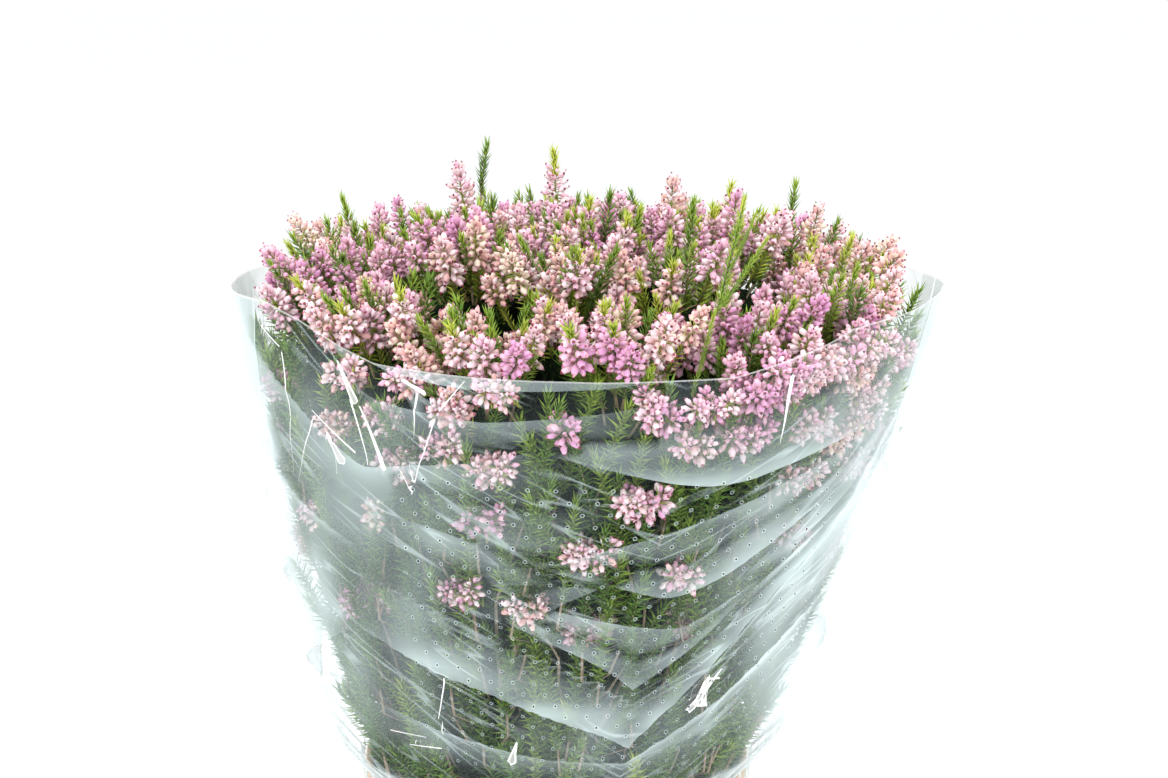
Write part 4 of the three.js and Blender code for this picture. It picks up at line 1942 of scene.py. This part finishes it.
@dataclass(frozen=True)
class Glint:
    """A straight crease or wedge painted white as a highlight, with its ends as turn and height."""

    start: tuple[float, float]
    end: tuple[float, float]
    half_start: float
    half_end: float
    reach: float = 0.0052

    def turned(self, about: float) -> "Glint":
        """Gives the crease's mirror image for the sleeve's other face."""
        start = (about - self.start[0], self.start[1])
        return replace(self, start=start, end=(about - self.end[0], self.end[1]))

    def at(self, turn: float, height: float, radius: float) -> tuple[float, float, float]:
        """Measures a place on the film against the crease.

        Args:
            turn: The place's turn, in radians.
            height: The place's height.
            radius: The film's radius.

        Returns:
            How far the place is from the crease, how far it lies aside of its line, and the half width there.
        """
        run = radius * turn_from(0.0, math.radians(self.end[0] - self.start[0]))
        drop = self.end[1] - self.start[1]
        length = math.hypot(run, drop)
        over = radius * turn_from(self.start[0], turn)
        up = height - self.start[1]
        part = (over * run + up * drop) / length ** 2
        across = (over * drop - up * run) / length
        past = max(0.0, -part, part - 1) * length
        half = self.half_start + (self.half_end - self.half_start) * min(1.0, max(0.0, part))
        return math.hypot(across, past), across, half - 4 * past - max(0.0, abs(across) - self.reach)


# painted highlights on the front face: white crease lines and wedges
FACE_GLINTS = tuple(Glint(*row) for row in (
    ((214, 0.530), (220, 0.519), 0.0006, 0.0006), ((220, 0.519), (221, 0.478), 0.0007, 0.0005),
    ((226, 0.486), (235, 0.463), 0.0004, 0.0007), ((229, 0.476), (232, 0.456), 0.0004, 0.0042),
    ((232, 0.518), (235, 0.494), 0.0008, 0.0030), ((234, 0.496), (237, 0.457), 0.0008, 0.0004),
    ((221, 0.478), (219, 0.437), 0.0005, 0.0002), ((235.5, 0.494), (240, 0.456), 0.0006, 0.0017),
    ((246, 0.507), (245, 0.477), 0.0010, 0.0002), ((254, 0.518), (249, 0.494), 0.0004, 0.0006),
    ((249, 0.494), (244, 0.443), 0.0006, 0.0004), ((227, 0.483), (220, 0.433), 0.0006, 0.0002),
    ((262, 0.286), (260.5, 0.266), 0.0002, 0.0034), ((243, 0.513), (247.5, 0.505), 0.0010, 0.0016),
    ((242, 0.462), (244, 0.443), 0.0003, 0.0005), ((300, 0.516), (300.5, 0.470), 0.0018, 0.0002),
    ((248, 0.327), (245, 0.292), 0.0007, 0.0004), ((231, 0.275), (242, 0.277), 0.0005, 0.0004),
    ((246, 0.293), (246, 0.281), 0.0005, 0.0004), ((236, 0.268), (245, 0.271), 0.0004, 0.0006),
    ((302, 0.326), (296, 0.298), 0.0006, 0.0030), ((335, 0.448), (338, 0.405), 0.0004, 0.0002),
    ((341, 0.500), (335, 0.448), 0.0004, 0.0003),
))


@dataclass
class FlowerSleeve(Piece):
    """The clear film sleeve, gathered at the pot's collar and open at its mouth."""

    title = "film_sleeve"
    node = "sleeve"
    slot = Slot.FILM
    coats = ("film",)
    funnel: Funnel = field(default_factory=Funnel)
    hem: float = 0.150
    hem_radius: float = 0.135
    collar_radius: float = 0.1330
    collar_top: float = 0.186
    pleats: int = 23
    pleat_depth: float = 0.0028
    pleat_height: float = 0.214
    pleat_fall: float = 0.022
    ripple: float = 0.0012
    columns: int = 300
    rows: int = 106
    cut_width: float = 1.50
    cut_length: float = FILM_LENGTH
    corner: float = 0.02
    swags: tuple[Swag, ...] = (
        *FACE_FOLDS, *(fold.turned(388, 0.004) for fold in FACE_FOLDS),
        *SIDE_FOLDS, *(fold.turned(188, -0.003) for fold in SIDE_FOLDS),
    )
    # painted highlights: the glint lines on both faces
    glints: tuple[Glint, ...] = (*FACE_GLINTS, *(glint.turned(388) for glint in FACE_GLINTS))
    seams: tuple[tuple[float, float], ...] = ((193.0, 0.075), (352.0, 0.056))
    glint_reach: float = 0.3
    kept_marks: tuple[str, ...] = ("fold", "veil_and_reflection", "haze_and_reflection", "holed", "gleam", "ply")
    # places where the crumpled film gets painted highlights
    gleams: tuple[Patch, ...] = (
        Patch(232, 0.452, 5, 0.009), Patch(299, 0.311, 4.5, 0.015), Patch(241, 0.270, 4, 0.006),
        Patch(20, 0.455, 6, 0.030), Patch(95, 0.300, 5, 0.014), Patch(160, 0.430, 5, 0.016),
    )
    # hazy patches: partly the film's own milkiness, partly painted reflection of the studio
    hazes_and_reflections: tuple[Patch, ...] = (
        Patch(222, 0.405, 44, 0.130, 0.60), Patch(330, 0.385, 42, 0.130, 0.70),
        Patch(284, 0.285, 34, 0.050, 0.35), Patch(226, 0.300, 34, 0.060, 0.30),
        Patch(336, 0.300, 30, 0.070, 0.45), Patch(308, 0.375, 28, 0.090, 0.22),
        Patch(42, 0.405, 44, 0.130, 0.50), Patch(146, 0.385, 42, 0.130, 0.50),
        Patch(98, 0.285, 34, 0.050, 0.35),
    )
    rims: tuple[tuple[float, float], ...] = (
        (8, 0.016), (30, 0.012), (52, 0.002), (75, -0.003), (100, -0.004), (128, 0.000), (150, 0.010),
        (172, 0.018), (190, 0.022), (217, 0.025), (224, 0.019), (233, 0.007), (239, 0.000), (256, -0.003),
        (272, -0.004), (290, -0.003), (301, 0.005), (312, 0.014), (329, 0.016), (345, 0.021),
    )
    hole_panels: tuple[float, ...] = (280.0, 100.0)
    hole_reach: float = 40.0
    hole_low: float = 0.255
    hole_high: float = 0.462
    hole_fade: float = 0.01
    hole_fade_turn: float = 3.0
    ply_margin: float = 0.010
    ply_rise: tuple[float, float] = (0.30, 0.47)
    ply_sway: float = 0.016
    wobble: float = 0.008
    underside: float = 2.2

    def fold_at(self, turn: float, height: float) -> tuple[float, float, float]:
        """Gives the folds at a place on the film.

        Args:
            turn: The place's turn, in radians.
            height: The place's height.

        Returns:
            How far the film stands out, how deep the place is in the nearest fold's band, and how milky
            that is.
        """
        out, into, veil_and_reflection = 0.0, -1.0, 0.0
        nearest = next_near = 1.0
        for swag in self.swags:
            aside = math.degrees(turn_from(swag.turn, turn))
            reach, rise, curve = swag.right if aside > 0 else swag.left
            aside = abs(aside) / reach
            if aside >= 1:
                continue
            fade = 1 - smooth_step(0.55, 1.0, aside)
            wobble = self.wobble * drift(turn * 2.3, swag.low * 40, 0)
            over = height - (swag.low + rise * aside ** curve + wobble)
            out += swag.depth * fade * math.exp(-abs(over) / swag.width)
            over = -over if swag.hangs else over
            far = over if over > 0 else -self.underside * over
            if far >= nearest:
                next_near = min(next_near, far)
            else:
                next_near, nearest = nearest, far
                into = over / (swag.band * (0.7 + 0.8 * aside))
                veil_and_reflection = swag.veil_and_reflection * fade
        streak = 0.75 + 0.6 * drift(turn * 2.2, height / 0.014, 5)
        return out, into, veil_and_reflection * streak * smooth_step(0.0, 0.010, next_near - nearest)

    def holed(self, turn: float, height: float) -> float:
        """Gives how far a place lies in one of the panels with holes.

        Args:
            turn: Its turn about the funnel's middle, in radians.
            height: Its height.

        Returns:
            A share from 0 to 1.
        """
        level = smooth_step(self.hole_low, self.hole_low + self.hole_fade, height)
        level *= 1 - smooth_step(self.hole_high - self.hole_fade, self.hole_high, height)
        aside = min(abs(math.degrees(turn_from(panel, turn))) for panel in self.hole_panels)
        return level * (1 - smooth_step(self.hole_reach - self.hole_fade_turn, self.hole_reach, aside))

    def ply_at(self, turn: float, height: float) -> float:
        """Gives how far a place lies inside the doubled film beside a seam.

        Args:
            turn: Its turn about the funnel's middle, in radians.
            height: Its height.

        Returns:
            The distance; outside the doubled film it is less than 0.
        """
        aside, reach = min(((turn_from(seam, turn), reach) for seam, reach in self.seams),
                           key=lambda found: abs(found[0]))
        reach = (reach + self.ply_margin) * smooth_step(*self.ply_rise, height) - self.ply_margin
        sway = self.ply_sway * drift(height * 9, math.copysign(3, aside), 21)
        return reach + sway - abs(aside) * self.funnel.film_at(height)

    def settle(self, point: bmesh.types.BMVert, marks: dict[str, object]) -> None:
        """Moves one point of the flat film to its place round the plant.

        Args:
            point: The point, still on the unit grid.
            marks: The layers that keep what the film's finish follows.
        """
        turn = 2 * math.pi * (point.co.x + 0.5)
        part = point.co.y + 0.5
        height = self.hem + (self.funnel.mouth - self.hem) * part
        climb = self.funnel.climb_at(height)
        radius = self.funnel.film_at(height)
        if height < self.funnel.gather:
            flare = max(0.0, (self.collar_top - height) / (self.collar_top - self.hem))
            radius = self.collar_radius + (self.hem_radius - self.collar_radius) * flare
        radius += self.funnel.wave_at(turn, height)
        out, into, veil_and_reflection = self.fold_at(turn, height)
        gather = math.exp(-((height - self.pleat_height) / self.pleat_fall) ** 2)
        gather *= math.sin(self.pleats * turn + 3 * drift(turn * 4, height * 20, 3)) ** 2
        radius += out * smooth_step(0.200, 0.235, height) + self.pleat_depth * gather
        radius += self.ripple * drift(turn * 9, height * 45, 7) * climb
        cloud = max(0.0, drift(turn * 1.4, height * 8, 11) - 0.05)
        rise = float(np.interp(math.degrees(turn), *zip(*self.rims), period=360)) * climb ** 4
        lean = self.funnel.lean_at(height)
        point.co = (radius * math.cos(turn) + lean, radius * math.sin(turn), height + rise)
        # the fold bands' milkiness: partly the film's own, partly painted reflection
        point[marks["fold"]] = into
        point[marks["veil_and_reflection"]] = veil_and_reflection
        # the hazy patches add painted reflection; the gathered pleats add the film's own milkiness
        clouded = sum(patch.strength * smooth_step(0, 0.8, patch.at(turn, height)) for patch in self.hazes_and_reflections)
        clouded *= 0.8 + 0.9 * drift(turn * 5 - height * 11, height * 5 + turn * 2.4, 17)
        point[marks["haze_and_reflection"]] = 0.55 * gather + 0.10 * cloud + clouded
        point[marks["holed"]] = self.holed(turn, height)
        # painted highlights: how deep a point lies in one of the crumpled places
        point[marks["gleam"]] = max(patch.at(turn, height) for patch in self.gleams)
        point[marks["ply"]] = self.ply_at(turn, height)
        # painted highlights: each point's distance to the nearest glint line of each group, and that line's
        # half width
        for group in range(GLINT_GROUPS):
            near = [glint.at(turn, height + rise, self.funnel.film_at(height))
                    for glint in self.glints[group::GLINT_GROUPS]
                    if abs(turn_from(glint.start[0], turn)) < self.glint_reach]
            _, across, slim = min(near, default=(1.0, 1.0, -1.0))
            point[marks[f"across_{group}"]] = across
            point[marks[f"slim_{group}"]] = slim

    def build(self) -> Shape:
        """Makes the film: a flat grid that is wrapped round, closed at its seam and folded.

        Returns:
            The shape.
        """
        shape = bmesh.new()
        names = [*self.kept_marks, *(f"{name}_{group}" for name in ("across", "slim")
                                     for group in range(GLINT_GROUPS))]
        for name in names:
            shape.verts.layers.float.new(name)
        marks = {name: shape.verts.layers.float[name] for name in names}
        cut = shape.loops.layers.uv.new("cut")
        bmesh.ops.create_grid(shape, x_segments=self.columns, y_segments=self.rows, size=0.5, calc_uvs=True)
        for face in shape.faces:
            face.smooth = True
            for corner in face.loops:
                place = corner.vert.co
                corner[cut].uv = (self.cut_width * (place.x + 0.5), self.cut_length * (place.y + 0.5))
        for point in shape.verts:
            self.settle(point, marks)
        bmesh.ops.remove_doubles(shape, verts=shape.verts, dist=1e-6)
        bmesh.ops.recalc_face_normals(shape, faces=shape.faces)
        return shape

    def finished(self, finishes: Finishes) -> bpy.types.Object:
        """Args:
            finishes: Every material by name.

        Returns:
            The sleeve.
        """
        piece = super().finished(finishes)
        top = self.funnel.film_at(self.funnel.mouth)
        return piece


# The studio


@dataclass(frozen=True)
class Softbox:
    """A square soft light: where it stands, its side, its power in watts and what it faces."""

    name: str
    place: tuple[float, float, float]
    size: float
    power: float
    target: tuple[float, float, float]


@dataclass
class Studio:
    """A pale floor, soft light and the camera."""

    eye: tuple[float, float, float] = (0.019, -1.1716, 0.7217)
    target: tuple[float, float, float] = (0.019, 0.0, 0.462)
    lens: float = 55.5
    sensor: float = 36.0
    floor_size: float = 900.0
    sky: Colour = (0.975, 0.988, 1.0)
    sky_strength: float = 1.04
    lights: tuple[Softbox, ...] = (
        Softbox("key softbox", (-1.3, -1.7, 2.0), 1.0, 34, (0, 0, 0.4)),
        Softbox("side softbox", (1.7, -0.9, 1.3), 0.8, 14, (0, 0, 0.4)),
        Softbox("top softbox", (0.2, 0.5, 2.3), 1.2, 22, (0, 0, 0.5)),
    )

    @staticmethod
    def stand(name: str, data: bpy.types.ID, place: Sequence[float],
              target: Sequence[float]) -> bpy.types.Object:
        """Stands a lamp or camera at its place and turns it to what it faces.

        Args:
            name: Its name.
            data: Its lamp or camera.
            place: Where it stands.
            target: What it faces.

        Returns:
            The object.
        """
        made = bpy.data.objects.new(name, data)
        made.location = place
        made.rotation_mode = "QUATERNION"
        made.rotation_quaternion = (Vector(target) - Vector(place)).to_track_quat("-Z", "Y")
        bpy.context.scene.collection.objects.link(made)
        return made

    def light(self, box: Softbox) -> None:
        """Adds a softbox.

        Args:
            box: The softbox.
        """
        data = bpy.data.lights.new(box.name, "AREA")
        data.shape = "SQUARE"
        data.size = box.size
        data.energy = box.power
        self.stand(box.name, data, box.place, box.target)

    def camera(self) -> None:
        """Adds the camera at the photograph's viewing angle."""
        data = bpy.data.cameras.new("camera")
        data.lens = self.lens
        data.sensor_width = self.sensor
        bpy.context.scene.camera = self.stand("camera", data, self.eye, self.target)

    def floor(self, finish: bpy.types.Material) -> None:
        """Adds the floor.

        Args:
            finish: Its material.
        """
        shape = bmesh.new()
        bmesh.ops.create_grid(shape, x_segments=1, y_segments=1, size=self.floor_size / 2)
        mesh = bpy.data.meshes.new("studio_floor")
        shape.to_mesh(mesh)
        shape.free()
        mesh.materials.append(finish)
        piece = bpy.data.objects.new("studio_floor", mesh)
        bpy.context.scene.collection.objects.link(piece)

    def build(self, finishes: Finishes) -> None:
        """Sets up the whole studio.

        Args:
            finishes: Every material by name.
        """
        self.camera()
        self.floor(finishes["floor"])
        world = bpy.data.worlds.new("studio")
        world.use_nodes = True
        sky = world.node_tree.nodes["Background"]
        sky.inputs["Color"].default_value = (*self.sky, 1.0)
        sky.inputs["Strength"].default_value = self.sky_strength
        bpy.context.scene.world = world
        for box in self.lights:
            self.light(box)
        bpy.context.scene.view_settings.view_transform = "Standard"


def shared_blooms(plant: Plant, rng: random.Random) -> dict[int, list[Bloom]]:
    """Gives each outer flowering stem the blooms that show through the film near it.

    Args:
        plant: Where every stem stands.
        rng: The source of the blooms on the far side.

    Returns:
        The blooms by the stem's number.
    """
    far_side = [Bloom(-8 + 9.5 * place + rng.uniform(-4, 4), rng.uniform(0.34, 0.495), rng.randint(2, 5))
                for place in range(21)]
    flowering = [cell for cell in plant.cells() if cell.outer and not cell.leafy]
    shares: dict[int, list[Bloom]] = {}
    for bloom in (*FRONT_BLOOMS, *far_side):
        nearest = min(flowering, key=lambda cell: abs(turn_from(bloom.turn, cell.turn)))
        shares.setdefault(nearest.number, []).append(bloom)
    return shares


def all_finishes() -> Finishes:
    """Makes every material once.

    Returns:
        Every material by name.
    """
    kinds = {"petal": PetalFinish, "anther": AntherFinish, "needle": NeedleFinish, "bark": BarkFinish,
             "shade": PaintedShadeFinish, "pot": PotFinish, "peat": PeatFinish, "film": FilmFinish,
             "floor": FloorFinish}
    return {name: kind().material() for name, kind in kinds.items()}


def report(piece: bpy.types.Object) -> None:
    """Logs a piece's name and size."""
    piece.data.calc_loop_triangles()
    log.info("%s: %d triangles", piece.name, len(piece.data.loop_triangles))


def source_of(cell: StemCell, place: int) -> random.Random:
    """Gives the source of irregularities of one of a cell's pieces."""
    return random.Random(SEED * 1000 + 10 * cell.number + place)


def main() -> None:
    """Builds the studio and every piece in order."""
    logging.basicConfig(level=logging.INFO, format="%(message)s")
    finishes = all_finishes()
    Studio().build(finishes)
    plant = Plant()
    nursery = Nursery(random.Random(SEED))
    for made in (NurseryPot(), PeatFill(), FlowerSleeve()):
        report(made.finished(finishes))
    blooms = shared_blooms(plant, random.Random(SEED + 1))
    for cell in plant.cells():
        grown: list[Grown] = [LeafyStem(cell, plant, nursery, source_of(cell, 0))]
        if not cell.leafy:
            guests = [other for other in plant.cells() if plant.hosts.get(other.number) == cell.number]
            grown.append(FlowerHead(cell, plant, nursery, source_of(cell, 1),
                                    blooms=blooms.get(cell.number, ()), guests=guests))
        if cell.low_head:
            grown.append(LowHead(cell, plant, nursery, source_of(cell, len(grown))))
        for made in grown:
            report(made.finished(finishes))


if __name__ == "__main__":
    main()
